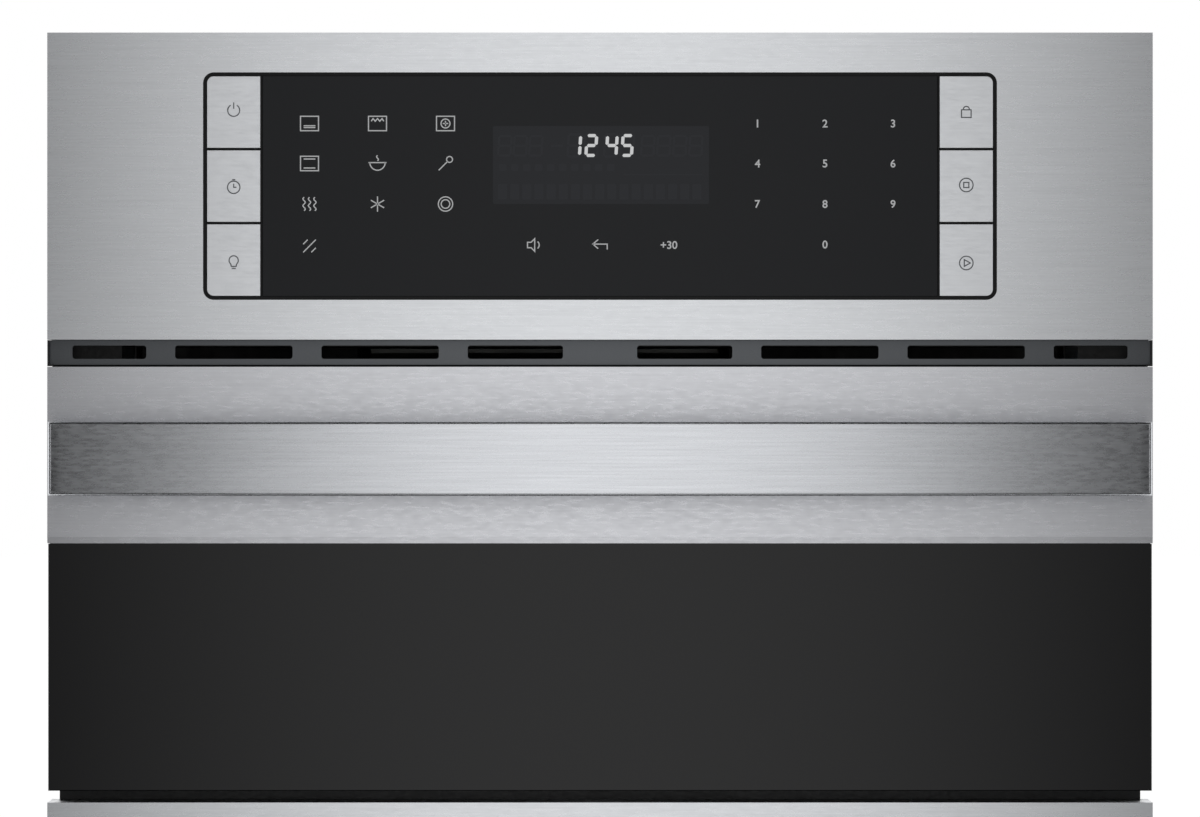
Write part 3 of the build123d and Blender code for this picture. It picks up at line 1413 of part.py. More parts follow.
def make_skin(name, z_top):
    """Steel band over the top of the door, folded back at the top and sides, with a hemmed edge."""
    z_low = z_top - door_steel_height
    back = door_back + fit_gap
    y_front = y_face - front_proud
    with BuildPart() as skin:
        with BuildSketch(face_plane(back)):
            with Locations((0, z_top - door_steel_height / 2)):
                Rectangle(front_width, door_steel_height)
        extrude(amount=front_proud - back)
        with BuildSketch(face_plane(back)):
            with Locations((0, z_top - sheet - door_steel_height / 2)):
                Rectangle(front_width - 2 * sheet, door_steel_height)
        extrude(amount=front_proud - back - sheet, mode=Mode.SUBTRACT)
        with BuildSketch(Plane.YZ.offset(-front_width)):
            with BuildLine():
                Polyline(
                    (y_front, z_low + hem_height),
                    (y_front + hem_depth, z_low),
                    (y_front, z_low),
                    close=True,
                )
            make_face()
        extrude(amount=2 * front_width, mode=Mode.SUBTRACT)
    keep(skin, name)


def make_door_glass(name, z_low, height):
    """Black outer glass, from the door's lower edge up behind the steel band."""
    glass_height = height - door_steel_height + glass_lap
    with BuildPart() as glass:
        with BuildSketch(face_plane(glass_front)):
            with Locations((0, z_low + glass_height / 2)):
                Rectangle(front_width - 2 * (sheet + fit_gap), glass_height)
            with Locations((0, z_low + (height - door_steel_height - fit_gap) / 2)):
                Rectangle(front_width - 2 * glass_side, height - door_steel_height - fit_gap)
        extrude(amount=-door_glass_thickness)
        chamfer(glass.faces().sort_by(Axis.Y)[0].edges(), length=glass_side)
    keep(glass, name)


def make_window(name, window, z_window):
    """Inner pane that lies on the back wall of the pan."""
    with BuildPart() as pane:
        with BuildSketch(face_plane(door_back + sheet)):
            with Locations((0, z_window)):
                Rectangle(window[0] + 2 * pane_lap, window[1] + 2 * pane_lap)
        extrude(amount=pane_thickness)
    keep(pane, name)


def door_pan(z_low, height, window, z_window):
    """Pressed inner pan, open to the glass, with the window hole and notches for the hinge arms."""
    width = front_width - 2 * (sheet + fit_gap)
    pan_height = height - sheet - fit_gap
    notch_ahead = pivot_ahead + arm_radius + arm_gap
    notch_rise = pivot_rise + arm_radius + arm_gap
    with BuildPart() as pan:
        with BuildSketch(face_plane(door_back)):
            with Locations((0, z_low + pan_height / 2)):
                Rectangle(width, pan_height)
        extrude(amount=pan_front - door_back)
        offset(amount=-sheet, openings=pan.faces().sort_by(Axis.Y)[0])
        with BuildSketch(face_plane(door_back - sheet)):
            with Locations((0, z_window)):
                soft_rectangle(*window, window_corner)
        extrude(amount=3 * sheet, mode=Mode.SUBTRACT)
        with BuildSketch(face_plane(door_back - sheet)):
            with Locations((0, z_low)):
                with GridLocations(2 * hinge_x, 0, 2, 1):
                    Rectangle(arm_thickness + 2 * arm_gap, 2 * notch_rise)
        extrude(amount=notch_ahead - door_back + sheet, mode=Mode.SUBTRACT)
    return pan


def make_hinges(name, z_low):
    """Two channels in the door's foot, each with the pin that runs in an arm's eye."""
    y_pivot = y_face - pivot_ahead
    z_pivot = z_low + pivot_rise
    cheek_gap = arm_thickness / 2 + arm_gap
    cheek_low = z_low + sheet + fit_gap
    cheek_high = cheek_low + cheek_height
    web_low = z_pivot + web_rise
    with BuildPart() as hinges:
        with BuildSketch(Plane.YZ.offset(hinge_x + cheek_gap)):
            with Locations((y_face - (cheek_front + cheek_back) / 2, (cheek_low + cheek_high) / 2)):
                Rectangle(cheek_front - cheek_back, cheek_height)
        extrude(amount=cheek_sheet)
        mirror(about=Plane.YZ.offset(hinge_x))
        with BuildSketch(Plane.YZ.offset(hinge_x - cheek_gap)):
            with Locations((y_face - cheek_front + cheek_sheet / 2, (web_low + cheek_high) / 2)):
                Rectangle(cheek_sheet, cheek_high - web_low)
        extrude(amount=2 * cheek_gap)
        with BuildSketch(Plane.YZ.offset(hinge_x - cheek_gap - cheek_sheet)):
            with Locations((y_pivot, z_pivot)):
                RegularPolygon(pin_radius, round_sides)
        extrude(amount=2 * (cheek_gap + cheek_sheet))
        mirror(about=Plane.YZ)
    keep(hinges, name)


upper_pan = door_pan(z_upper_door, upper_door_height, upper_window, z_upper_window)
lower_pan = door_pan(z_lower_door, lower_door_height, lower_window, z_lower_window)
keep(lower_pan, "lower_door_pan")

# Upper door: its pan also carries the choke frame and the two latch hooks
with BuildPart() as upper_door_pan:
    add(upper_pan.part)
    with BuildSketch(face_plane(door_back)):
        with Locations((0, z_upper_floor + upper_cavity_height / 2)):
            soft_rectangle(
                upper_cavity_width + 2 * (choke_gap + choke_width),
                upper_cavity_height + 2 * (choke_gap + choke_width),
                cavity_corner + choke_width,
            )
            soft_rectangle(
                upper_cavity_width + 2 * choke_gap,
                upper_cavity_height + 2 * choke_gap,
                cavity_corner,
                mode=Mode.SUBTRACT,
            )
    extrude(amount=-choke_reach)
    for x in (-latch_x, latch_x):
        with BuildSketch(Plane.YZ.offset(x - hook_thickness / 2)):
            with Locations((y_face - door_back + hook_reach / 2, z_latch)):
                Rectangle(hook_reach, hook_height)
            with Locations((y_face - door_back + hook_reach - hook_head / 2, z_latch - hook_height / 2)):
                Rectangle(hook_head, hook_head)
        extrude(amount=hook_thickness)
keep(upper_door_pan, "upper_door_pan")

for level, z_low, height in (
    ("upper", z_upper_door, upper_door_height),
    ("lower", z_lower_door, lower_door_height),
):
    make_skin(f"{level}_door_skin", z_low + height)
    make_door_glass(f"{level}_door_glass", z_low, height)
    make_handle(f"{level}_handle", z_low + height)
    make_hinges(f"{level}_door_hinges", z_low)
make_window("upper_door_window", upper_window, z_upper_window)
make_window("lower_door_window", lower_window, z_lower_window)
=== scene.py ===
"""Looks of a built-in combination wall oven, section by section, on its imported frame."""

import math

import bpy
import numpy as np
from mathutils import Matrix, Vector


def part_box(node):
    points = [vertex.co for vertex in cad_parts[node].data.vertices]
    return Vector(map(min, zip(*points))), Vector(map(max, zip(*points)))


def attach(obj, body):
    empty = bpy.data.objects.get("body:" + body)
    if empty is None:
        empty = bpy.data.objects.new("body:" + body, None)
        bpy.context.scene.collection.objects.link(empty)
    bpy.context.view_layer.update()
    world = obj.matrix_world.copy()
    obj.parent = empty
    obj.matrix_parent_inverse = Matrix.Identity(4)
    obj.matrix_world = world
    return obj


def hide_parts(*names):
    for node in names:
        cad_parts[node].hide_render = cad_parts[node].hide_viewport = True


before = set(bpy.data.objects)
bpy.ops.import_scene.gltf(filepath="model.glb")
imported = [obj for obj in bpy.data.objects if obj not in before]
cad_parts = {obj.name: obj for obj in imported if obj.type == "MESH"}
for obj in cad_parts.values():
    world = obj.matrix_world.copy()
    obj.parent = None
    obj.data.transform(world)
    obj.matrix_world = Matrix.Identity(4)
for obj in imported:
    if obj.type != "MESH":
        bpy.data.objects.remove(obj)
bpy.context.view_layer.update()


# Camera: stands square to the doors, far back, with a long lens, level with the upper door's handle.
# The photograph shows only the top of the oven, from the control panel to the upper door's glass.
eye_height, eye_distance = 1.0001, 4.844
camera_lens = bpy.data.cameras.new("camera")
camera_lens.lens = 200.0
camera_lens.sensor_width = 36.0
camera = bpy.data.objects.new("camera", camera_lens)
camera.location = (0.0, -eye_distance, eye_height)
camera.rotation_euler = (math.radians(90.0), 0.0, 0.0)
bpy.context.scene.collection.objects.link(camera)
bpy.context.scene.camera = camera
bpy.context.scene.view_settings.view_transform = "Standard"


# Studio: white paper all round, and a pale floor that keeps the oven's shadow. The paper is white to the
# eye, to metal and to glass, and lights dull surfaces at a plain level.
def linear(colour):
    """sRGB hex colour, such as "d3d4d8", as linear red, green, blue and alpha."""
    parts = [int(colour[i : i + 2], 16) / 255.0 for i in (0, 2, 4)]
    return [c / 12.92 if c <= 0.04045 else ((c + 0.055) / 1.055) ** 2.4 for c in parts] + [1.0]


def add(tree, kind, inputs=None, **settings):
    """Adds a node: settings are its own properties, and inputs are its sockets' values or links."""
    node = tree.nodes.new(kind)
    for name, value in settings.items():
        setattr(node, name, value)
    for key, value in (inputs or {}).items():
        if isinstance(value, bpy.types.NodeSocket):
            tree.links.new(value, node.inputs[key])
        else:
            node.inputs[key].default_value = value
    return node


def seen_rays(tree):
    """1 for rays from the camera, from shiny surfaces and through glass, and 0 for the rest."""
    path = add(tree, "ShaderNodeLightPath").outputs
    first = {0: path["Is Camera Ray"], 1: path["Is Glossy Ray"]}
    plain = add(tree, "ShaderNodeMath", first, operation="MAXIMUM").outputs[0]
    both = {0: plain, 1: path["Is Transmission Ray"]}
    return add(tree, "ShaderNodeMath", both, operation="MAXIMUM").outputs[0]


plain_level = 0.52  # what the paper gives dull surfaces, where 1 is white
paper = bpy.data.worlds.new("white_paper")
bpy.context.scene.world = paper
paper.use_nodes = True
tree = paper.node_tree
tree.nodes.clear()
level = add(tree, "ShaderNodeMapRange", {"Value": seen_rays(tree), "To Min": plain_level, "To Max": 1.0})
backdrop = add(tree, "ShaderNodeBackground", {"Color": linear("ffffff"), "Strength": level.outputs[0]})
add(tree, "ShaderNodeOutputWorld", {"Surface": backdrop.outputs[0]})


def surface(name, points, faces, smooth=False):
    """Object at the origin from an array of points and a list of faces, which look outwards."""
    mesh = bpy.data.meshes.new(name)
    mesh.from_pydata(np.asarray(points, float).tolist(), [], [[int(i) for i in face] for face in faces])
    mesh.polygons.foreach_set("use_smooth", [smooth] * len(mesh.polygons))
    mesh.update()
    piece = bpy.data.objects.new(name, mesh)
    bpy.context.scene.collection.objects.link(piece)
    return piece


def flat_card(name, corner, across, up):
    """Rectangle from one corner along two edges. It looks along across times up."""
    corner, across, up = (np.array(v, float) for v in (corner, across, up))
    return surface(name, [corner, corner + across, corner + across + up, corner + up], [[0, 1, 2, 3]])


floor_half, floor_drop, floor_glow = 40.0, 0.0006, 0.6
floor_side = 2 * floor_half
floor = flat_card("floor", (-floor_half, -floor_half, -floor_drop), (floor_side, 0, 0), (0, floor_side, 0))
floor_paint = bpy.data.materials.new("pale_floor")
floor_paint.use_nodes = True
tree = floor_paint.node_tree
tree.nodes.clear()
dull = add(tree, "ShaderNodeBsdfDiffuse", {"Color": linear("e6e6e6")})
glow = add(tree, "ShaderNodeMapRange", {"Value": seen_rays(tree), "To Min": 0.0, "To Max": floor_glow})
lit = add(tree, "ShaderNodeEmission", {"Color": linear("ffffff"), "Strength": glow.outputs[0]})
both = add(tree, "ShaderNodeAddShader", {0: dull.outputs[0], 1: lit.outputs[0]})
add(tree, "ShaderNodeOutputMaterial", {"Surface": both.outputs[0]})
floor.data.materials.append(floor_paint)


# Soft light panel: one tall diffuser a metre ahead of the doors, bright in the middle and dark towards its
# sides. It is what the brushed steel mirrors, bright at the centre line and dark at both ends.
def lit_diffuser(name, brightness):
    """Lit cloth: e to the power of minus x squared times (2.6 plus 8 x squared), times brightness. Beyond
    0.8 m it rises again to 0.7 times brightness, so that the steel isn't black from the sides."""
    cloth = bpy.data.materials.new(name)
    cloth.use_nodes = True
    tree = cloth.node_tree
    tree.nodes.clear()
    place = add(tree, "ShaderNodeTexCoord").outputs["Object"]
    x = add(tree, "ShaderNodeSeparateXYZ", {0: place}).outputs[0]
    square = add(tree, "ShaderNodeMath", {0: x, 1: x}, operation="MULTIPLY").outputs[0]
    steep = add(tree, "ShaderNodeMath", {0: square, 1: -8.0, 2: -2.6}, operation="MULTIPLY_ADD").outputs[0]
    power = add(tree, "ShaderNodeMath", {0: square, 1: steep}, operation="MULTIPLY").outputs[0]
    fade = add(tree, "ShaderNodeMath", {0: power}, operation="EXPONENT").outputs[0]
    ends = {"Value": square, "From Min": 0.6, "From Max": 1.3, "To Min": 0.0, "To Max": 0.7}
    rise = add(tree, "ShaderNodeMapRange", ends, interpolation_type="SMOOTHSTEP").outputs[0]
    whole = add(tree, "ShaderNodeMath", {0: fade, 1: rise}, operation="ADD").outputs[0]
    bright = add(tree, "ShaderNodeMath", {0: whole, 1: brightness}, operation="MULTIPLY").outputs[0]
    shine = add(tree, "ShaderNodeEmission", {"Color": linear("ffffff"), "Strength": bright})
    add(tree, "ShaderNodeOutputMaterial", {"Surface": shine.outputs[0]})
    return cloth


studio_front, panel_half, panel_low, panel_high = -1.3, 1.22, -0.2, 2.35
panel_corner = (-panel_half, studio_front, panel_low)
panel = flat_card("light_panel", panel_corner, (2 * panel_half, 0, 0), (0, 0, panel_high - panel_low))
panel.data.flip_normals()
panel.data.materials.append(lit_diffuser("lit_diffuser", 1.07))
panel.visible_camera = False
panel.visible_diffuse = False
panel.visible_shadow = False


# Flags: studio boards that only shiny surfaces mirror, along their rounded edges. A black one hangs
# overhead, a grey one stands at each side of the light panel, and a dim lit one lies ahead of the plinth.
def studio_cloth(name, colour):
    """Dull cloth of one colour."""
    cloth = bpy.data.materials.new(name)
    cloth.use_nodes = True
    cloth.node_tree.nodes.clear()
    dull = add(cloth.node_tree, "ShaderNodeBsdfDiffuse", {"Color": linear(colour)})
    add(cloth.node_tree, "ShaderNodeOutputMaterial", {"Surface": dull.outputs[0]})
    return cloth


black_cloth, grey_cloth = studio_cloth("black_cloth", "101010"), studio_cloth("grey_cloth", "8c8c8c")
dim_cloth = lit_diffuser("dim_diffuser", 0.22)
side_x, side_deep, top_z = 1.3, 0.95, 2.36
flags = [
    flat_card("black_flag_overhead", (-1.4, studio_front, top_z), (2.8, 0, 0), (0, 1.7, 0)),
    flat_card("dim_panel_low", (-side_x, studio_front, 0.02), (2 * side_x, 0, 0), (0, 0.9, 0)),
    flat_card("grey_flag_left", (-side_x, studio_front, 0.0), (0, side_deep, 0), (0, 0, top_z)),
    flat_card("grey_flag_right", (side_x, studio_front, 0.0), (0, side_deep, 0), (0, 0, top_z)),
]
flag_cloths = [black_cloth, dim_cloth, grey_cloth, grey_cloth]
for flag, cloth in zip(flags, flag_cloths):
    flag.data.materials.append(cloth)
    flag.visible_camera = False
    flag.visible_diffuse = False
    flag.visible_transmission = False
    flag.visible_shadow = False


# Chassis: tray with runners, side, back and top panels and the three inner trays. Hot-dip galvanised steel
# sheet of 1.2 mm, cut, folded and screwed together.
def material(name, colour, roughness, metallic=0.0, **sockets):
    """New material with one shader: returns it, its node tree and the shader."""
    made = bpy.data.materials.new(name)
    made.use_nodes = True
    made.node_tree.nodes.clear()
    fixed = {"Base Color": linear(colour), "Roughness": roughness, "Metallic": metallic}
    fixed.update({key.replace("_", " "): value for key, value in sockets.items()})
    shader = add(made.node_tree, "ShaderNodeBsdfPrincipled", fixed)
    add(made.node_tree, "ShaderNodeOutputMaterial", {"Surface": shader.outputs[0]})
    return made, made.node_tree, shader


def grain(tree, size, detail=2.0, kind="ShaderNodeTexNoise", **settings):
    """Pattern on Object coordinates whose features are about size (x, y, z) millimetres large."""
    place = add(tree, "ShaderNodeTexCoord").outputs["Object"]
    scale = [1000.0 / s for s in size]
    sized = add(tree, "ShaderNodeMapping", {"Vector": place, "Scale": scale}).outputs[0]
    inputs = {"Vector": sized, "Scale": 1.0}
    if kind == "ShaderNodeTexNoise":
        inputs["Detail"] = detail
    return add(tree, kind, inputs, **settings)


def vary(tree, pattern, low, high, start=0.3, end=0.7):
    """Pattern's value, stretched from start..end to low..high."""
    inputs = {"Value": pattern, "From Min": start, "From Max": end, "To Min": low, "To Max": high}
    return add(tree, "ShaderNodeMapRange", inputs).outputs[0]


def tint(tree, factor, first, second):
    """Colour between two hex colours by factor."""
    inputs = {"Factor": factor, 6: linear(first), 7: linear(second)}
    return add(tree, "ShaderNodeMix", inputs, data_type="RGBA").outputs[2]


def link(tree, shader, **wires):
    """Joins sockets of a shader to the outputs given by name."""
    for key, value in wires.items():
        tree.links.new(value, shader.inputs[key.replace("_", " ")])


def relief(tree, shader, height, depth, strength=1.0):
    """Bump of the given depth in millimetres, from a height between 0 and 1."""
    inputs = {"Height": height, "Distance": depth / 1000.0, "Strength": strength}
    link(tree, shader, Normal=add(tree, "ShaderNodeBump", inputs).outputs[0])


def dress(finish, *nodes):
    """Gives the CAD nodes a finish, in their own material slots."""
    for name in nodes:
        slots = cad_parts[name].data.materials
        slots.clear()
        slots.append(finish)


# Zinc freezes in flat crystals 6 to 15 mm across: each has its own grey and its own dullness.
galvanised, tree, shader = material("hot_dip_galvanised_sheet", "b2b6b8", 0.42, 0.9)
spangle = grain(tree, (9.0, 9.0, 9.0), kind="ShaderNodeTexVoronoi")
shade = add(tree, "ShaderNodeSeparateColor", {0: spangle.outputs["Color"]}).outputs[0]
crystal_grey = tint(tree, shade, "9ea3a6", "c0c4c6")
link(tree, shader, Base_Color=crystal_grey, Roughness=vary(tree, shade, 0.34, 0.52, 0.0, 1.0))
relief(tree, shader, shade, 0.03)
dress(galvanised, "base_pan", "side_panels", "back_panel", "top_panel", "shelves")


# Conduit bush: a screwed gland moulded in black polyamide, in the top panel's hole.
# Spark-eroded mould: a fine even grain and a satin surface.
def uneven(tree, shader, size, low, high, depth):
    """Roughness from low to high after a grain of size (x, y, z) millimetres, with relief of this depth."""
    pattern = grain(tree, size).outputs[0]
    link(tree, shader, Roughness=vary(tree, pattern, low, high))
    relief(tree, shader, pattern, depth)


gland, tree, shader = material("moulded_black_polyamide", "242526", 0.5)
uneven(tree, shader, (0.9, 0.9, 0.9), 0.42, 0.58, 0.05)
dress(gland, "conduit_bush")

# Face frame and door pans: pressed steel, powder coated black and baked.
# The powder flows out with a soft orange peel of 1.5 to 3 mm.
coated, tree, shader = material("black_powder_coat", "111214", 0.42)
uneven(tree, shader, (2.2, 2.2, 2.2), 0.36, 0.5, 0.06)
dress(coated, "face_frame", "upper_door_pan", "lower_door_pan")

# Frame screws: hexagon heads that hold the face frame to the side panels' flanges.
# Zinc plated steel of uneven shine, with a slight blue cast.
plated, tree, shader = material("zinc_plated_screw_steel", "b9bdc2", 0.3, 1.0)
plating = grain(tree, (1.2, 1.2, 1.2)).outputs[0]
zinc = tint(tree, plating, "a6abb1", "c9ccd0")
link(tree, shader, Base_Color=zinc, Roughness=vary(tree, plating, 0.24, 0.4))
dress(plated, "frame_screws")

# Upper cavity with its waveguide, and both fan covers: ferritic stainless sheet, rolled and pickled.
# A dull satin with faint rolling lines along the sheet, and light heat tint in clouds.
satin, tree, shader = material("pickled_stainless_sheet", "b4b5b6", 0.34, 1.0)
rolling = grain(tree, (40.0, 40.0, 1.6)).outputs[0]
cloud = grain(tree, (120.0, 120.0, 120.0)).outputs[0]
tinge = tint(tree, cloud, "b8b9bb", "aca79d")
link(tree, shader, Base_Color=tinge, Roughness=vary(tree, rolling, 0.28, 0.42))
relief(tree, shader, rolling, 0.02)
dress(satin, "upper_cavity", "fan_covers")

# Port cover: mica board cut to size and clipped over the waveguide's port.
# Pressed flakes about 5 mm across, brown and silvery, each with its own shine.
mica, tree, shader = material("pressed_mica_board", "a78e63", 0.38)
flake = grain(tree, (5.0, 5.0, 3.0), kind="ShaderNodeTexVoronoi")
shade = add(tree, "ShaderNodeSeparateColor", {0: flake.outputs["Color"]}).outputs[0]
flake_brown = tint(tree, shade, "8a7048", "c9b78e")
link(tree, shader, Base_Color=flake_brown, Roughness=vary(tree, shade, 0.25, 0.5, 0.0, 1.0))
relief(tree, shader, shade, 0.05)
dress(mica, "port_cover")

# Lower cavity: drawn steel with ground-coat enamel fired on. Deep blue grey glass with pale specks of 1 mm,
# three to six millimetres apart, and a wavy gloss.
enamel, tree, shader = material("fired_speckled_enamel", "1d2126", 0.14)
specks = grain(tree, (5.0, 5.0, 5.0), kind="ShaderNodeTexVoronoi").outputs["Distance"]
speck = vary(tree, specks, 1.0, 0.0, 0.1, 0.16)
wave = grain(tree, (14.0, 14.0, 14.0)).outputs[0]
link(tree, shader, Base_Color=tint(tree, speck, "1d2126", "8f979e"))
relief(tree, shader, wave, 0.12)
dress(enamel, "lower_cavity")

# Oven racks: bent and welded steel wire, nickel and chromium plated, which lie loose on the runners.
# A bright plating, a little hazy.
chrome, tree, shader = material("chromium_plated_wire", "cfd0d2", 0.14, 1.0)
haze = grain(tree, (6.0, 6.0, 6.0)).outputs[0]
link(tree, shader, Roughness=vary(tree, haze, 0.1, 0.22), Base_Color=tint(tree, haze, "c3c4c6", "d8d9da"))
dress(chrome, "upper_rack", "lower_rack")


def bent(corners, radius, steps=6):
    """Line through corners that turns in arcs: each arc has this radius and touches both of its runs."""
    p = np.asarray(corners, float)
    line = [p[:1]]
    for before, corner, after in zip(p, p[1:], p[2:]):
        back = (before - corner) / np.linalg.norm(before - corner)
        on = (after - corner) / np.linalg.norm(after - corner)
        half = math.acos(float(back @ on)) / 2
        centre = corner + (back + on) / np.linalg.norm(back + on) * radius / math.sin(half)
        start = corner + back * radius / math.tan(half) - centre
        end = corner + on * radius / math.tan(half) - centre
        turn = math.pi - 2 * half
        t = np.linspace(0.0, 1.0, steps + 1)[:, None]
        line.append(centre + (np.sin((1 - t) * turn) * start + np.sin(t * turn) * end) / math.sin(turn))
    return np.vstack([*line, p[-1:]])


def tube(path, radius, sides=10, up=(0.0, 0.0, 1.0), closed=False):
    """Round wire: circles of this radius stand square to the path's mean direction.
    up is any direction square to the path."""
    p = np.asarray(path, float)
    run = (np.roll(p, -1, 0) - np.roll(p, 1, 0)) if closed else np.gradient(p, axis=0)
    run = run / np.linalg.norm(run, axis=1, keepdims=True)
    side = np.cross(run, up)
    side = side / np.linalg.norm(side, axis=1, keepdims=True)
    top = np.cross(side, run)
    a = np.linspace(0.0, 2 * np.pi, sides, endpoint=False)[None, :, None]
    points = p[:, None] + radius * (np.cos(a) * side[:, None] + np.sin(a) * top[:, None])
    n = len(p)
    i = np.arange(n if closed else n - 1)[:, None]
    k = np.arange(sides)[None, :]
    j = (i + 1) % n
    m = (k + 1) % sides
    walls = np.stack([i * sides + k, j * sides + k, j * sides + m, i * sides + m], -1)
    caps = [] if closed else [list(range(sides)), list(range((n - 1) * sides, n * sides))[::-1]]
    return points.reshape(-1, 3), walls.reshape(-1, 4).tolist() + caps


def joined(name, shapes, smooth=False):
    """All shapes, each an array of points and a list of faces, as one piece."""
    base = np.cumsum([0] + [len(points) for points, _ in shapes])
    faces = [[i + start for i in rim] for (_, rims), start in zip(shapes, base) for rim in rims]
    return surface(name, np.vstack([points for points, _ in shapes]), faces, smooth)


def stands_for(piece, node, body, finish):
    """Puts a finish on a piece that replaces a CAD node."""
    piece.data.materials.append(finish)
    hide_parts(node)
    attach(piece, body)


# Each rack is a 6 mm frame wire, two 5 mm cross bars level with it and thirteen 3.5 mm wires on top,
# all spot welded. The wires are slightly sunk into each other at the welds.
rack_half, rack_front, rack_back = 0.293, -0.223, 0.169
frame_wire, cross_wire, top_wire = 0.003, 0.0025, 0.00175
cross_places = (-0.09233, 0.03833)
top_places = rack_half * (np.arange(13) - 6) / 7
right_half = [(0.0, rack_front), (rack_half, rack_front), (rack_half, rack_back)]
frame_corners = right_half + [(-x, y) for x, y in right_half[::-1]]
for rack, z_wire in (("upper_rack", 0.3493), ("lower_rack", 0.2253)):
    wires = [tube(bent([(*corner, z_wire) for corner in frame_corners], 0.009), frame_wire, 12)]
    for y in cross_places:
        wires.append(tube([(-rack_half, y, z_wire), (rack_half, y, z_wire)], cross_wire, 12))
    z_top = z_wire + frame_wire
    for x in top_places:
        wires.append(tube([(x, rack_front, z_top), (x, rack_back, z_top)], top_wire))
    stands_for(joined(f"{rack}_wires", wires, True), rack, rack, chrome)

# Heating elements: drawn nickel alloy tube filled with magnesia, bent, with both ends through the back
# wall. Oxidised to a greenish grey, in patches.
sheath, tree, shader = material("oxidised_nickel_alloy_tube", "57544c", 0.48, 0.85)
oxide = grain(tree, (18.0, 18.0, 18.0), 4.0).outputs[0]
link(tree, shader, Base_Color=tint(tree, oxide, "413e38", "716c60"), Roughness=vary(tree, oxide, 0.4, 0.62))
relief(tree, shader, oxide, 0.04)
dress(sheath, "heating_elements")
element_radius, lead_x, element_front, element_bend = 0.0035, 0.03, -0.18, 0.014


def flat_element(half, back, inner_back, y_end, z, passes):
    """Level tube: out of the back wall, to and fro in this many passes, and back to the wall. half is its
    greatest X, back and inner_back are where its outer and inner passes turn."""
    line = [(-lead_x, y_end), (-lead_x, back)]
    for step in range(passes // 2):
        x = -half + step * (half - lead_x) / (passes // 2)
        near = inner_back if step else back
        line += [(x, element_front), (x, near)] if step % 2 else [(x, near), (x, element_front)]
    line += [(-x, y) for x, y in reversed(line)]
    return tube(bent([(x, y, z) for x, y in line], element_bend), element_radius)


def ring_element(radius, y, z, lead=0.0177, points=60):
    """Open ring round a fan, in the plane of the fan, with two leads to the back wall."""
    start = math.asin(lead_x / radius)
    a = np.linspace(start, 2 * math.pi - start, points)
    ring = np.column_stack([-radius * np.sin(a), np.full(points, y), z - radius * np.cos(a)])
    leads = [tube([ring[k], ring[k] + (0.0, lead, 0.0)], element_radius) for k in (0, -1)]
    return [tube(ring, element_radius, up=(0.0, 1.0, 0.0)), *leads]


grill = flat_element(half=0.204, back=0.108, inner_back=0.048, y_end=0.2187, z=0.9766, passes=4)
lower_sizes = {"half": 0.254, "back": 0.148, "inner_back": 0.088, "y_end": 0.2637, "passes": 6}
broil, bake = flat_element(z=0.5, **lower_sizes), flat_element(z=0.093, **lower_sizes)
fan_rings = ring_element(radius=0.07, y=0.172, z=0.8866) + ring_element(radius=0.112, y=0.212, z=0.308)
elements = joined("element_tubes", [grill, broil, bake, *fan_rings], True)
stands_for(elements, "heating_elements", "chassis", sheath)

# Cavity wool: mineral fibre blankets of 24 and 29 mm, wrapped round both cavities.
# Matted yellow-grey fibres lie along the sheet.
wool, tree, shader = material("needled_mineral_wool", "a89b78", 0.95, Sheen_Weight=0.3, Sheen_Roughness=0.6)
fibre = grain(tree, (16.0, 1.8, 1.8), 5.0, noise_dimensions="3D").outputs[0]
tuft = grain(tree, (22.0, 22.0, 22.0), 3.0).outputs[0]
mixed = add(tree, "ShaderNodeMath", {0: fibre, 1: tuft}, operation="ADD").outputs[0]
link(tree, shader, Base_Color=tint(tree, vary(tree, mixed, 0.0, 1.0, 0.7, 1.3), "8d8160", "c8bd9c"))
relief(tree, shader, mixed, 1.2)
dress(wool, "cavity_wool")

# Oven lamps: pressed borosilicate lens, screwed on a lampholder in the cavity's side wall.
# Frosted glass, a little warm in its colour.
lens, tree, shader = material("pressed_borosilicate_lens", "f1ece0", 0.22, IOR=1.47, Transmission_Weight=0.6)
uneven(tree, shader, (2.0, 2.0, 2.0), 0.15, 0.35, 0.1)
dress(lens, "oven_lamps")


def turned(profile, centre, along, across, steps=64):
    """Surface of revolution: each point of the profile, radius and height, goes round the axis."""
    along, across = np.array(along, float), np.array(across, float)
    third = np.cross(along, across)
    profile = np.asarray(profile, float)
    a = np.linspace(0.0, 2 * np.pi, steps, endpoint=False)
    round_axis = np.cos(a)[:, None] * across + np.sin(a)[:, None] * third
    middle = profile[1:-1]
    rings = middle[:, None, :1] * round_axis[None] + middle[:, None, 1:] * along + np.array(centre, float)
    poles = profile[[0, -1], 1:] * along + np.array(centre, float)
    n = len(middle)
    i = np.arange(n - 1)[:, None]
    k = np.arange(steps)[None, :]
    m = (k + 1) % steps
    walls = np.stack([i * steps + k, i * steps + m, (i + 1) * steps + m, (i + 1) * steps + k], -1)
    low, high = n * steps, n * steps + 1
    caps = [[low, (j + 1) % steps, j] for j in range(steps)]
    caps += [[high, (n - 1) * steps + j, (n - 1) * steps + (j + 1) % steps] for j in range(steps)]
    return np.vstack([rings.reshape(-1, 3), poles]), walls.reshape(-1, 4).tolist() + caps


def eased(corners, radius, steps=4):
    """Profile whose inner corners are rounded with this radius."""
    return bent([(r, h, 0.0) for r, h in corners], radius, steps)[:, :2]


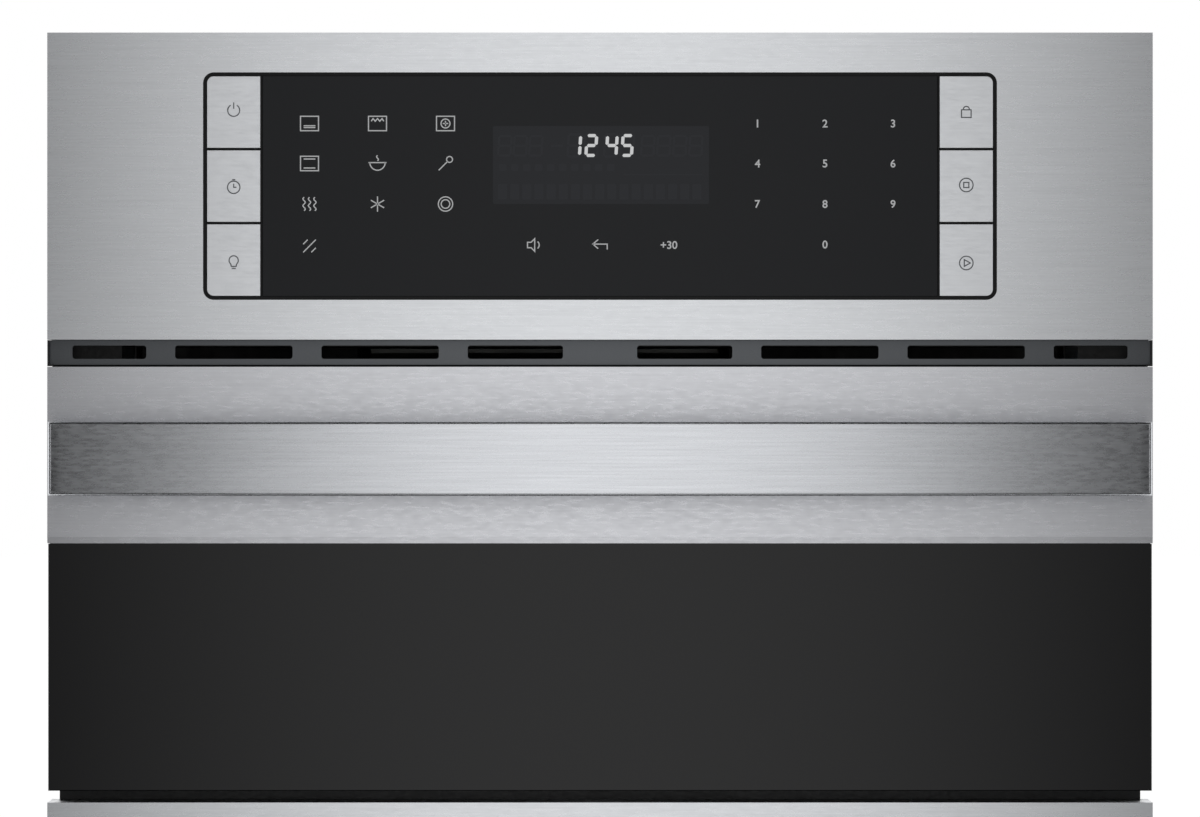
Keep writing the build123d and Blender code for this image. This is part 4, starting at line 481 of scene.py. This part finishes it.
# The lens is a low dome with a gripping rim, on a lampholder that reaches back into the wool.
dome_radius, dome_foot, dome_rise, holder_radius, holder_deep = 0.0195, 0.002, 0.0058, 0.0185, 0.03
turns = np.linspace(0.0, 1.5, 9)
dome = [(dome_radius * math.cos(a), dome_foot + dome_rise * math.sin(a)) for a in turns]
holder = [(0.0, -holder_deep), (holder_radius, -holder_deep), (holder_radius, -0.0004)]
rim = [(0.0228, 0.0), (0.023, 0.0014), (0.0222, dome_foot)]
lens_profile = np.array([*holder, *rim, *dome, (0.0, dome_foot + dome_rise)])
lamp_places = ((-0.25, -0.05, 0.9426), (-0.3, -0.05, 0.466))
lenses = [turned(lens_profile, place, (1.0, 0.0, 0.0), (0.0, 1.0, 0.0), 48) for place in lamp_places]
stands_for(joined("lamp_lenses", lenses, True), "oven_lamps", "chassis", lens)

# Door seal: braided glass fibre tube over a wire core, clipped round the lower oven's mouth.
# The yarns cross at a pitch of 3 mm, charcoal grey and slightly silky.
braid, tree, shader = material("braided_glass_fibre", "4a4a48", 0.8, Sheen_Weight=0.4, Sheen_Roughness=0.4)
coarse = add(tree, "ShaderNodeTexCoord").outputs["Object"]
across = add(tree, "ShaderNodeMapping", {"Vector": coarse, "Rotation": (0.0, 0.7854, 0.0)}).outputs[0]
first = add(tree, "ShaderNodeTexWave", {"Vector": across, "Scale": 100.0}, bands_direction="X").outputs[0]
second = add(tree, "ShaderNodeTexWave", {"Vector": across, "Scale": 100.0}, bands_direction="Z").outputs[0]
yarn = add(tree, "ShaderNodeMath", {0: first, 1: second}, operation="MAXIMUM").outputs[0]
link(tree, shader, Base_Color=tint(tree, yarn, "2c2c2b", "666663"))
relief(tree, shader, yarn, 0.5)
dress(braid, "door_seal")

# Pressed and cast works: convection fans, hinges, motors, magnetron, blower wheels and housings.
# Zinc and aluminium with a cloudy satin finish.
works, tree, shader = material("passivated_zinc_plate", "b0b1b0", 0.4, 1.0)
cloud = grain(tree, (12.0, 12.0, 12.0), 3.0).outputs[0]
link(tree, shader, Base_Color=tint(tree, cloud, "a3a5a5", "bfbfbb"), Roughness=vary(tree, cloud, 0.32, 0.5))
dress(works, "upper_fan", "lower_fan", "upper_blower", "lower_blower", "motors", "magnetron")
dress(works, "hinge_arms", "upper_door_hinges", "lower_door_hinges")

# Turntable plate and the doors' inner windows: clear soda-lime glass, toughened.
# Faintly green in the thickness, polished, with a very slight roller wave.
clear, tree, shader = material("toughened_clear_glass", "f2f7f4", 0.02, IOR=1.52, Transmission_Weight=1.0)
wave = grain(tree, (60.0, 60.0, 60.0)).outputs[0]
relief(tree, shader, wave, 0.02)
dress(clear, "turntable_plate", "upper_door_window", "lower_door_window")

# The plate has a flat foot, a sloping rim with a rounded lip, and is 5 mm thick.
plate_foot, plate_radius, plate_rise, plate_thick = 0.16, 0.172, 0.012, 0.005
turntable_y, plate_z = -0.048, 0.7932
plate_under = [(0.0, 0.0), (plate_foot, 0.0), (plate_radius, plate_rise)]
plate_over = [(plate_radius - plate_thick, plate_rise), (plate_foot, plate_thick), (0.0, plate_thick)]
plate_profile = eased(plate_under + plate_over, 0.0022)
dish = turned(plate_profile, (0.0, turntable_y, plate_z), (0, 0, 1), (1, 0, 0), 96)
plate = joined("glass_plate", [dish], True)
stands_for(plate, "turntable_plate", "turntable", clear)

# Turntable coupler and interlock blocks: mouldings in ivory polyester, filled with glass fibre.
# A dull surface with a fine grain.
moulded, tree, shader = material("moulded_ivory_polyester", "d3d0c6", 0.5)
uneven(tree, shader, (1.4, 1.4, 1.4), 0.42, 0.6, 0.06)
dress(moulded, "turntable_coupler", "interlock_blocks")

# Roller ring: a flat hoop of the same polyester, lying loose on the oven's floor, with three rollers on
# short spokes. The hoop is three round strands side by side.
strand, hoop_radius, roller_out, spoke_start, spoke_end = 0.0015, 0.095, 0.108, 0.096, 0.111
roller_radius, roller_half, roller_round = 0.007, 0.004, 0.0008
hub = np.array([0.0, turntable_y, 0.7859])
a = np.linspace(0.0, 2 * np.pi, 96, endpoint=False)
circle = np.column_stack([np.cos(a), np.sin(a), np.zeros(96)])
hoops = (hoop_radius, hoop_radius - strand, hoop_radius + strand)
ring_parts = [tube(hub + radius * circle, strand, 10, closed=True) for radius in hoops]
half_wheel = [(0.0, roller_half), (roller_radius, roller_half)]
wheel = eased([(r, -h) for r, h in half_wheel] + half_wheel[::-1], roller_round, 3)
for turn in (0.0, 2 * math.pi / 3, 4 * math.pi / 3):
    out = np.array([math.cos(turn), math.sin(turn), 0.0])
    ring_parts.append(turned(wheel, hub + roller_out * out, out, (0.0, 0.0, 1.0), 32))
    ring_parts.append(tube([hub + spoke_start * out, hub + spoke_end * out], strand))
rollers = joined("ring_and_rollers", ring_parts, True)
stands_for(rollers, "roller_ring", "roller_ring", moulded)

# Transformer: a stack of silicon steel laminations, welded and dipped in varnish, round two windings.
# The stack's edges show as fine dark lines, drawn at 1.5 mm where the real sheets are 0.5 mm.
core, tree, shader = material("varnished_laminations", "4d4a46", 0.45, 0.6)
place = add(tree, "ShaderNodeTexCoord").outputs["Object"]
stack = add(tree, "ShaderNodeTexWave", {"Vector": place, "Scale": 200.0}, bands_direction="Y").outputs[0]
link(tree, shader, Base_Color=tint(tree, stack, "35322f", "6d6a66"))
relief(tree, shader, stack, 0.3)
dress(core, "transformer")

# Control boards: glass-epoxy laminate, etched and screen printed, on posts behind each fascia.
# The copper tracks, 5 mm apart, show paler under the green solder mask.
board, tree, shader = material("green_solder_mask", "1e4a2f", 0.35)
cells = {"kind": "ShaderNodeTexVoronoi", "distance": "MANHATTAN", "feature": "DISTANCE_TO_EDGE"}
tracks = grain(tree, (5.0, 5.0, 2.5), **cells)
track = vary(tree, tracks.outputs["Distance"], 1.0, 0.0, 0.03, 0.08)
link(tree, shader, Base_Color=tint(tree, track, "173d27", "3f7a52"))
dress(board, "control_boards")


# Stainless fronts: control panels, door skins, bottom trim and keys. Sheet of type 304, brushed along its
# width with a belt, so lines run level, and light spreads upwards and downwards from each of them.
def brushed(name, colour, roughness, spread, dash):
    """Level brushing: long fine lines of 1 mm, drawn coarser than the real 0.1 mm, and short dashes."""
    turned_grain = {"Anisotropic": spread, "Anisotropic_Rotation": 0.25}
    made, tree, shader = material(name, colour, roughness, 1.0, **turned_grain)
    lines = grain(tree, (70.0, 70.0, 1.1), 3.0).outputs[0]
    dashes = grain(tree, (8.0, 8.0, 1.8), 2.0).outputs[0]
    both = add(tree, "ShaderNodeMix", {0: 0.5, 2: lines, 3: dashes}, data_type="FLOAT").outputs[0]
    low = vary(tree, both, 1.0 - dash, 1.0 + dash, 0.35, 0.65)
    toned = add(tree, "ShaderNodeVectorMath", {0: linear(colour)[:3], 3: low}, operation="SCALE").outputs[0]
    link(tree, shader, Base_Color=toned, Roughness=vary(tree, dashes, roughness - 0.05, roughness + 0.07))
    facing = add(tree, "ShaderNodeTangent", direction_type="RADIAL", axis="Z").outputs[0]
    link(tree, shader, Tangent=facing)
    relief(tree, shader, lines, 0.008, 0.5)
    return made


steel = brushed("brushed_stainless_304", "d8dadd", 0.3, 0.75, 0.06)
dress(steel, "upper_fascia", "lower_fascia", "bottom_trim")
door_steel = brushed("brushed_stainless_door_skin", "cecfd3", 0.3, 0.75, 0.05)
dress(door_steel, "upper_door_skin", "lower_door_skin")

# Handles: bars of flat stainless, bowed forwards, brushed along their length and buffed at the edges.
# Each stands on two square posts, screwed from behind the door's steel.
bar_steel = brushed("brushed_stainless_bar", "d6d8dc", 0.28, 0.7, 0.1)
dress(bar_steel, "upper_handle", "lower_handle")
bar_half, bar_deep, bar_high, bar_round, back_edge = 0.375, 0.014, 0.05, 0.0025, 0.0008
bar_middle, bar_crown, bar_bow, door_steel_y = 0.004, -0.337, 0.018, -0.285
post_x, post_half, post_inset = 0.331, 0.012, 0.007


def bar_front(x):
    """Y of the bar's front: an arc in plan through the crown, whose ends stand back by the bow."""
    radius = (bar_half**2 + bar_bow**2) / (2 * bar_bow)
    return bar_crown + radius - np.sqrt(radius**2 - x**2)


def bowed_bar(z_low, steps=8, stations=121):
    """Grid of stations along X and points round the section. Depth behind the front is r (1 - cos a cos b),
    where a turns round the end's edge and b round the section's front edge. A narrow facet beside each
    rounding keeps the flats' shading even."""
    turn = np.linspace(0.0, math.pi / 2, steps + 1)
    ends = bar_half - bar_round + bar_round * np.sin(turn)
    inner = np.linspace(-(bar_half - bar_round), bar_half - bar_round, stations)
    x = np.concatenate([-ends[:0:-1], inner, ends[1:]])
    a = np.concatenate([turn[:0:-1], np.zeros(stations), turn[1:]])
    low, level, back_facet, front_facet = -bar_high / 2, bar_high / 2 - bar_round, 0.0003, 0.0004
    edge = [(bar_deep, low + back_edge), (bar_deep - back_edge / 4, low + back_edge / 4)]
    half = [(depth, low) for depth in (bar_deep - back_edge, bar_middle, bar_round + back_facet)]
    for b in turn[::-1]:
        half.append((bar_round * (1 - np.cos(a) * math.cos(b)), -level - bar_round * math.sin(b)))
    face = bar_round * (1 - np.cos(a))
    half += [(face, -level + front_facet), (face, -level / 2)]
    section = half + [(face, 0.0)] + [(depth, -z) for depth, z in (edge + half)[::-1]] + edge
    y = bar_front(x)[:, None] + np.stack([np.broadcast_to(depth, x.shape) for depth, _ in section], 1)
    z = np.broadcast_to(np.array([z for _, z in section]) + z_low + bar_high / 2, y.shape)
    points = np.stack([np.broadcast_to(x[:, None], y.shape), y, z], -1)
    n, m = y.shape
    i, k = np.arange(n - 1)[:, None], np.arange(m)[None, :]
    j = (k + 1) % m
    walls = np.stack([i * m + k, (i + 1) * m + k, (i + 1) * m + j, i * m + j], -1).reshape(-1, 4).tolist()
    caps = [list(range(m)), list(range((n - 1) * m, n * m))[::-1]]
    return points.reshape(-1, 3), walls + caps


def extruded(outline, low, high):
    """Closed prism: a flat outline in X and Y, anticlockwise from above, between two heights."""
    rim = np.asarray(outline, float)
    n = len(rim)
    points = np.vstack([np.column_stack([rim, np.full(n, low)]), np.column_stack([rim, np.full(n, high)])])
    i = np.arange(n)
    j = (i + 1) % n
    walls = np.stack([i, j, j + n, i + n], 1).tolist()
    return points, [list(range(n))[::-1], list(range(n, 2 * n)), *walls]


for level_name in ("upper", "lower"):
    z_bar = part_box(f"{level_name}_handle")[0].z
    back = float(bar_front(post_x)) + bar_deep / 2
    shapes = [bowed_bar(z_bar)]
    for x in (-post_x, post_x):
        near = [(x - post_half, back), (x + post_half, back)]
        far = [(x + post_half, door_steel_y), (x - post_half, door_steel_y)]
        shapes.append(extruded(near + far, z_bar + post_inset, z_bar + bar_high - post_inset))
    bar = joined(f"{level_name}_handle_bar", shapes, True)
    bar.data.set_sharp_from_angle(angle=math.radians(40.0))
    stands_for(bar, f"{level_name}_handle", f"{level_name}_door", bar_steel)

# Keys: small steel caps, drawn and folded, over a moulded spring in the bezel's wells.
# Brushed level with a very fine belt, so they look duller than the panel round them.
key_steel = brushed("fine_brushed_key_cap", "e1e3e6", 0.36, 0.6, 0.03)
upper_keys = [f"upper_key_{side}_{row}" for side in ("left", "right") for row in ("top", "middle", "bottom")]
lower_keys = [f"lower_key_{side}_{row}" for side in ("left", "right") for row in ("top", "bottom")]
dress(key_steel, *upper_keys, *lower_keys)

# Insert bezels: black ABS mouldings round the keys and the touch glass, clipped in the fascia.
# A satin surface, darker than the glass.
bezel, tree, shader = material("moulded_black_abs", "08090b", 0.42, IOR=1.3)
uneven(tree, shader, (1.1, 1.1, 1.1), 0.32, 0.46, 0.03)
dress(bezel, "insert_bezels")

# Vent trims: pressed strips with rounded slots, stove-enamelled in a dark metallic grey. The fine flake
# mirrors the room softly, so the strip is lighter in its middle than at its ends.
vent, tree, shader = material("metallic_grey_lacquer", "5d5f63", 0.36, 0.95)
flake = grain(tree, (0.9, 0.9, 0.9)).outputs[0]
link(tree, shader, Base_Color=tint(tree, flake, "575a5d", "646669"), Roughness=vary(tree, flake, 0.32, 0.4))
relief(tree, shader, flake, 0.03)
dress(vent, "vent_trims")

# Ends of the vent channels: folded flanges of black coated sheet, screwed to the face frame. They close
# each channel at its sides, with a small lip below the end of the strip.
end_x, end_front, end_back, end_wall, end_fold = 0.378, -0.2845, -0.242, 0.001, 0.007
fold_x, wall_x, wall_y = end_x - end_fold, end_x - end_wall, end_back - end_wall
lip_x, lip_y = end_x - 0.004, end_front + 0.002
fold = [(end_x, end_back), (fold_x, end_back), (fold_x, wall_y)]
flange = np.array([(end_x, end_front), *fold, (wall_x, wall_y), (wall_x, end_front)])
tab = np.array([(end_x, wall_y), *fold])
lip = np.array([(end_x, end_front), (end_x, lip_y), (lip_x, lip_y), (lip_x, end_front)])
ends = []
for z_vent in (0.562, 1.0286):
    for outline, low, high in ((flange, 0.0012, 0.0183), (tab, -0.01, 0.0012), (lip, 0.0004, 0.0018)):
        ends.append(extruded(outline, z_vent + low, z_vent + high))
        ends.append(extruded((outline * (-1.0, 1.0))[::-1], z_vent + low, z_vent + high))
vent_ends = joined("vent_channel_ends", ends)
vent_ends.data.materials.append(coated)
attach(vent_ends, "chassis")

# Blower housings and their ducts: folded sheet, screwed to the shelves. Their dull black is painted shade:
# it stands in for the shade deep inside the vent trims' slots, so nothing pale shows behind them.
# Painted shade: this black takes the place of the shade inside the slots.
duct, tree, shader = material("dull_black_painted_slot_shade", "0c0c0d", 0.55)
uneven(tree, shader, (6.0, 6.0, 14.0), 0.45, 0.65, 0.05)
dress(duct, "blower_housings")

# Door glasses: 5 mm toughened glass, printed black on the back and fired, bonded to the door pan.
# A deep gloss with no grain, and a very slight roller wave.
door_glass, tree, shader = material("black_printed_door_glass", "040406", 0.05, IOR=1.4)
uneven(tree, shader, (90.0, 90.0, 90.0), 0.04, 0.07, 0.01)
dress(door_glass, "upper_door_glass", "lower_door_glass")

# Touch glasses: 4 mm glass, printed dark grey on the back and bonded in the bezel.
# The etched front is satin, and greys what it mirrors.
touch, tree, shader = material("etched_touch_glass", "16181c", 0.4, IOR=1.33)
etch = grain(tree, (0.8, 0.8, 0.8)).outputs[0]
link(tree, shader, Roughness=vary(tree, etch, 0.36, 0.44))
dress(touch, "touch_glasses")


# Displays: behind a clear window in the glass's print lies a negative liquid crystal panel. Its unlit
# segments show a little lighter than the window, and the clock's segments are lit white.
px = 0.00068385  # one pixel of the photograph on the doors' front, in metres
middle_x, middle_y = 600.0, 408.5  # the picture's middle, in its pixels
y_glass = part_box("touch_glasses")[0].y
clear_step = 0.00003  # between two layers of print


def spot(x, y):
    """Place on the front, from a pixel of the photograph, as X and Z in metres."""
    return np.array([(x - middle_x) * px, eye_height - (y - middle_y) * px])


def stroke(line, width, closed=False):
    """Flat ribbon along a line: every point moves half the width to both sides, along the mean normal."""
    p = np.asarray(line, float)
    run = (np.roll(p, -1, 0) - p) if closed else np.diff(p, axis=0)
    run = run / np.linalg.norm(run, axis=1, keepdims=True)
    side = np.stack([-run[:, 1], run[:, 0]], 1)
    before = np.roll(side, 1, 0) if closed else np.vstack([side[:1], side])
    after = side if closed else np.vstack([side, side[-1:]])
    shift = (before + after) / (1.0 + np.sum(before * after, 1, keepdims=True)) * width / 2
    n = len(p)
    i = np.arange(n if closed else n - 1)
    j = (i + 1) % n
    return np.vstack([p - shift, p + shift]), np.stack([i, j, j + n, i + n], 1).tolist()


def patch(outline):
    """One flat face from its outline, anticlockwise as seen from the front."""
    return np.asarray(outline, float), [list(range(len(outline)))]


def printed(name, shapes, y, finish, body, like):
    """All flat shapes as one piece that looks forwards, at depth y."""
    piece = joined(name, [(np.insert(shape, 1, y, axis=1), rims) for shape, rims in shapes])
    piece.data.materials.append(finish)
    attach(piece, body)


def box_outline(x0, y0, x1, y1, corner=0.0):
    """Rectangle between two pixels, with its corners rounded by a radius in pixels."""
    turns = np.radians([180.0, 225.0, 270.0])[:, None] + np.radians([0.0, 90.0, 180.0, 270.0])
    inner = np.array([(x0, y1), (x1, y1), (x1, y0), (x0, y0)], float)
    sign = np.array([(1, -1), (-1, -1), (-1, 1), (1, 1)], float)
    middle = inner + sign * corner
    arm = corner * np.stack([np.cos(turns.T), -np.sin(turns.T)], -1)
    around = (middle[:, None] + arm).reshape(-1, 2)
    return np.array([spot(*p) for p in (around if corner else inner)])


def cell_row(count, x, step, y, width, height, corner):
    """Row of equal display cells, the first one from pixel x, y."""
    starts = [x + step * k for k in range(count)]
    return [patch(box_outline(left, y, left + width, y + height, corner)) for left in starts]


segment_places = {
    "a": ((0.0, 1.0), (1.0, 1.0)),
    "b": ((1.0, 1.0), (1.0, 0.5)),
    "c": ((1.0, 0.5), (1.0, 0.0)),
    "d": ((0.0, 0.0), (1.0, 0.0)),
    "e": ((0.0, 0.5), (0.0, 0.0)),
    "f": ((0.0, 1.0), (0.0, 0.5)),
    "g": ((0.0, 0.5), (1.0, 0.5)),
}
digit_segments = {"0": "abcdef", "1": "bc", "2": "abged", "3": "abgcd", "4": "fgbc", "5": "afgcd"}
digit_segments.update({"8": "abcdefg", "-": "g"})


def seven_segments(figure, x0, y0, x1, y1, width, slant=1.2):
    """Segments of one figure between two pixels: bars with pointed ends, leaning right by slant pixels."""
    bars, gap, point = [], 0.14 * width, 0.35 * width
    for name in digit_segments[figure]:
        (a, b), (c, d) = segment_places[name]
        start = np.array([x0 + a * (x1 - x0), y1 + b * (y0 - y1)])
        end = np.array([x0 + c * (x1 - x0), y1 + d * (y0 - y1)])
        along = (end - start) / np.linalg.norm(end - start)
        side = np.array([along[1], -along[0]]) * width / 2
        start, end = start + along * gap, end - along * gap
        near, far = start + along * point, end - along * point
        rim = np.array([start, near - side, far - side, end, far + side, near + side])
        rim[:, 0] += slant * (y1 - rim[:, 1]) / (y1 - y0)
        rim = np.array([spot(*p) for p in rim])
        turn = np.roll(rim, -1, 0)
        if np.sum(rim[:, 0] * turn[:, 1] - turn[:, 0] * rim[:, 1]) < 0:
            rim = rim[::-1]
        bars.append(patch(rim))
    return bars


window_ink, tree, shader = material("liquid_crystal_window", "22242a", 0.35, IOR=1.33)
weave = grain(tree, (0.6, 0.6, 0.6)).outputs[0]
link(tree, shader, Base_Color=tint(tree, weave, "1f2126", "26282d"))
ghost_ink, tree, shader = material("unlit_segments", "2f3033", 0.4, IOR=1.33)
link(tree, shader, Base_Color=tint(tree, grain(tree, (0.6, 0.6, 0.6)).outputs[0], "282a2f", "2d2f34"))
lit_ink, tree, shader = material("lit_segments", "1c1c1d", 0.4, Emission_Strength=0.56)
glowing = tint(tree, grain(tree, (3.0, 3.0, 3.0)).outputs[0], "f2f4f6", "ffffff")
link(tree, shader, Emission_Color=glowing)

behind_glass = ("chassis", "black_touch_glass")
upper_window = box_outline(493, 126, 709, 204, 1.5)
printed("display_window", [patch(upper_window)], y_glass - clear_step, window_ink, *behind_glass)
ghosts = []
for x in (498.0, 513.5, 529.0, 641.0, 657.0, 673.0, 689.0):
    ghosts += seven_segments("8", x, 136, x + 12.5, 155.5, 2.2)
ghosts += seven_segments("-", 550, 136, 563, 155.5, 2.2)
for x in (567.5, 584.0, 604.0, 620.0):
    ghosts += seven_segments("8", x, 134.5, x + 13, 156.5, 2.4)
letter_cells = {"count": 17, "x": 498.0, "step": 12.15, "width": 9.0, "height": 15.5, "corner": 1.0}
ghosts += cell_row(y=184.0, **letter_cells)
ghosts.append(patch(box_outline(623, 174, 702, 175.2)))
ghosts += cell_row(count=10, x=499.0, step=12.0, y=164.0, width=7.5, height=7.0, corner=1.5)
printed("display_unlit_segments", ghosts, y_glass - 2 * clear_step, ghost_ink, *behind_glass)
clock = []
for figure, x in (("1", 568.0), ("2", 584.0), ("4", 604.5), ("5", 620.0)):
    clock += seven_segments(figure, x + 1.9, 135.6, x + 11.5, 155.4, 3.2)
printed("display_lit_segments", clock, y_glass - 3 * clear_step, lit_ink, *behind_glass)


# Legends: pad-printed pale grey on the glass, and dark grey on the keys. Plain numerals and the usual
# pictograms of ovens, drawn with lines of half a millimetre.
def arc(x, y, radius, start, end, count=14):
    """Points of an arc round x, y from start to end, in degrees."""
    a = np.radians(np.linspace(start, end, count))
    return np.column_stack([x + radius * np.cos(a), y + radius * np.sin(a)])


def ring(x, y, radius):
    """Points of a full circle."""
    return arc(x, y, radius, 0.0, 345.0, 24)


def ripple(x, y, length, height, waves=2):
    """Points of an upright heat wave."""
    t = np.linspace(0.0, 1.0, 12)
    return np.column_stack([x + height * np.sin(t * waves * 2 * np.pi), y + (t - 0.5) * length])


def level_line(half, y):
    """Level stroke through the middle."""
    return [(-half, y), (half, y)], False


def square(half):
    """Closed square round the middle."""
    return np.array([(-half, -half), (half, -half), (half, half), (-half, half)]), True


oven_box = np.array([(-1.0, -0.8), (1.0, -0.8), (1.0, 0.8), (-1.0, 0.8)]), True
grill_line = [(-0.7, 0.25), (-0.5, 0.55), (-0.25, 0.25), (0.0, 0.55), (0.25, 0.25), (0.5, 0.55), (0.7, 0.25)]
lock_case = [(-0.6, -0.8), (0.6, -0.8), (0.6, 0.15), (-0.6, 0.15)]
horn = [(-0.5, 0.3), (-0.1, 0.3), (0.3, 0.7), (0.3, -0.7), (-0.1, -0.3), (-0.5, -0.3)]
bulb_cap = [(-0.37, -0.25), (-0.3, -0.55), (0.3, -0.55), (0.37, -0.25)]
steam = ripple(0.0, 0.6, 0.6, 0.1, waves=1)
hands, barbs = [(0, 0.35), (0, -0.1), (0.35, -0.1)], [(-0.2, 0.6), (-0.8, 0.1), (-0.2, -0.4)]
spokes = [(0.85 * np.cos(a), 0.85 * np.sin(a)) for a in (0.52, 1.57, 2.62)]
# Each pictogram is a list of lines with whether the line is closed, in a field from -1 to 1.
pictograms = {
    "lower_heat": [oven_box, level_line(0.65, -0.45), level_line(0.65, -0.25)],
    "upper_heat": [oven_box, (grill_line, False)],
    "both_heats": [oven_box, level_line(0.65, -0.5), level_line(0.65, 0.5)],
    "fan_heat": [oven_box, (ring(0, 0, 0.5), True), level_line(0.3, 0), ([(0, -0.3), (0, 0.3)], False)],
    "waves": [(ripple(x, 0.0, 1.5, 0.14), False) for x in (-0.6, 0.0, 0.6)],
    "timer": [(ring(0, -0.1, 0.78), True), (hands, False), level_line(0.2, 0.85)],
    "light": [(arc(0.0, 0.2, 0.58, -50, 230), False), (bulb_cap, False), level_line(0.25, -0.8)],
    "lock": [(np.array(lock_case), True), (arc(0, 0.2, 0.38, 0, 180), False)],
    "probe": [([(-0.75, -0.75), (0.2, 0.2)], False), (arc(0.45, 0.45, 0.33, -135, 225, 22), False)],
    "flake": [([(x, y), (-x, -y)], False) for x, y in spokes],
    "dish": [(arc(0, 0.1, 0.85, 180, 360), False), level_line(1.0, 0.1), (steam, False)],
    "plate": [(ring(0, 0, 0.8), True), (ring(0, 0, 0.48), True)],
    "start": [(ring(0, 0, 0.85), True), (np.array([(-0.25, -0.42), (0.5, 0.0), (-0.25, 0.42)]), True)],
    "stop": [(ring(0, 0, 0.85), True), square(0.32)],
    "power": [(arc(0, -0.05, 0.75, 120, 420, 22), False), ([(0, 0.15), (0, 0.95)], False)],
    "back": [(barbs, False), ([(-0.8, 0.1), (0.8, 0.1), (0.8, -0.5)], False)],
    "sound": [(horn, True), (arc(0.3, 0, 0.5, -50, 50), False)],
    "clean": [([(-x, -y), (y, x)], False) for x, y in ((0.7, 0.7), (0.7, -0.2), (-0.2, 0.7))],
}


def pictogram(name, x, y, half, line=1.15):
    """Strokes of one pictogram round a pixel, half so many pixels high, with lines so many pixels wide."""
    centre = spot(x, y)
    lines = [(centre + np.asarray(p, float) * half * px, closed) for p, closed in pictograms[name]]
    return [stroke(p, line * px, closed) for p, closed in lines]


def numeral(text, x, y, height):
    """Plain figures round a pixel, so many pixels high, from the built-in face."""
    curve = bpy.data.curves.new("figures", "FONT")
    curve.body = text
    curve.offset = 0.018
    holder = bpy.data.objects.new("figures", curve)
    bpy.context.scene.collection.objects.link(holder)
    shape = bpy.data.meshes.new_from_object(holder.evaluated_get(bpy.context.evaluated_depsgraph_get()))
    points = np.empty(len(shape.vertices) * 3)
    shape.vertices.foreach_get("co", points)
    points = points.reshape(-1, 3)[:, :2]
    faces = [list(face.vertices) for face in shape.polygons]
    bpy.data.objects.remove(holder)
    low, high = points.min(0), points.max(0)
    return (points - (low + high) / 2) * height * px / (high[1] - low[1]) + spot(x, y), faces


legend_half, figure_high, cap_half = 9.0, 8.0, 8.0  # pixels
pale_ink, tree, shader = material("pad_printed_pale_ink", "e2e4e6", 0.55)
link(tree, shader, Base_Color=tint(tree, grain(tree, (0.7, 0.7, 0.7)).outputs[0], "d8dadc", "ecedee"))
dark_ink, tree, shader = material("pad_printed_dark_ink", "55585e", 0.55)
link(tree, shader, Base_Color=tint(tree, grain(tree, (0.7, 0.7, 0.7)).outputs[0], "4f5258", "5f6267"))

marks = []
for name, x, y in (
    ("lower_heat", 309.5, 123.5), ("upper_heat", 377.5, 123.5), ("fan_heat", 445.5, 123.5),
    ("both_heats", 309.5, 163.5), ("dish", 377.5, 163.5), ("probe", 445.5, 163.5),
    ("waves", 309.5, 204.0), ("flake", 377.5, 204.0), ("plate", 445.5, 204.0),
    ("clean", 309.5, 246.0), ("sound", 532.0, 245.0), ("back", 600.0, 245.0),
):
    marks += pictogram(name, x, y, legend_half)
for figure, x, y in (
    ("1", 757.5, 123.5), ("2", 825.0, 123.5), ("3", 893.0, 123.5), ("4", 757.5, 163.5), ("5", 825.0, 163.5),
    ("6", 893.0, 163.5), ("7", 757.5, 204.0), ("8", 825.0, 204.0), ("9", 893.0, 204.0), ("0", 825.0, 244.5),
    ("+30", 669.0, 245.0),
):
    marks.append(numeral(figure, x, y, figure_high))
printed("glass_legends", marks, y_glass - clear_step, pale_ink, *behind_glass)


def key_legend(key, name, y):
    """Pictogram on a key's cap, which rides on the key."""
    low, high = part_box(key)
    x = middle_x + (low.x + high.x) / 2 / px
    shapes = pictogram(name, x, y, cap_half)
    printed(f"{key}_legend", shapes, low.y - clear_step, dark_ink, key, "stainless_steel")


cap_names = ("power", "timer", "light", "lock", "stop", "start")
cap_rows = (110.0, 186.5, 262.0, 111.0, 185.0, 263.0)
for key, name, y in zip(upper_keys, cap_names, cap_rows):
    key_legend(key, name, y)

# Lower insert: the same print on the second touch glass, whose legends stand in two rows and whose display
# shows a temperature. It is bonded in its bezel as the upper one is.
insert_height = 0.6556
low_y = middle_y + (eye_height - insert_height) / px
window_low = box_outline(493, low_y - 47.8, 709, low_y + 30.2, 1.5)
printed("lower_display_window", [patch(window_low)], y_glass - clear_step, window_ink, *behind_glass)
ghosts = []
for x in (498.0, 513.5, 529.0, 567.5, 584.0, 604.0, 641.0, 657.0, 673.0, 689.0):
    ghosts += seven_segments("8", x, low_y - 36.0, x + 12.5, low_y - 14.0, 2.3)
ghosts += cell_row(y=low_y + 10.2, **letter_cells)
printed("lower_display_unlit", ghosts, y_glass - 2 * clear_step, ghost_ink, *behind_glass)
reading = []
for figure, x in (("3", 567.5), ("5", 584.0), ("0", 604.0)):
    reading += seven_segments(figure, x, low_y - 36.0, x + 12.5, low_y - 14.0, 3.1)
printed("lower_display_lit", reading, y_glass - 3 * clear_step, lit_ink, *behind_glass)
marks = []
for name, x, rise in (
    ("lower_heat", 309.5, -22.0), ("upper_heat", 377.5, -22.0), ("fan_heat", 445.5, -22.0),
    ("both_heats", 309.5, 26.0), ("probe", 377.5, 26.0), ("waves", 445.5, 26.0),
):
    marks += pictogram(name, x, low_y + rise, legend_half)
for number in range(10):
    x, rise = 757.5 + 33.9 * (number % 5), 48.0 * (number // 5) - 22.0
    marks.append(numeral(str((number + 1) % 10), x, low_y + rise, figure_high))
printed("lower_glass_legends", marks, y_glass - clear_step, pale_ink, *behind_glass)
for key, name in zip(lower_keys, ("power", "light", "stop", "start")):
    low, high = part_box(key)
    key_legend(key, name, middle_y + (eye_height - (low.z + high.z) / 2) / px)
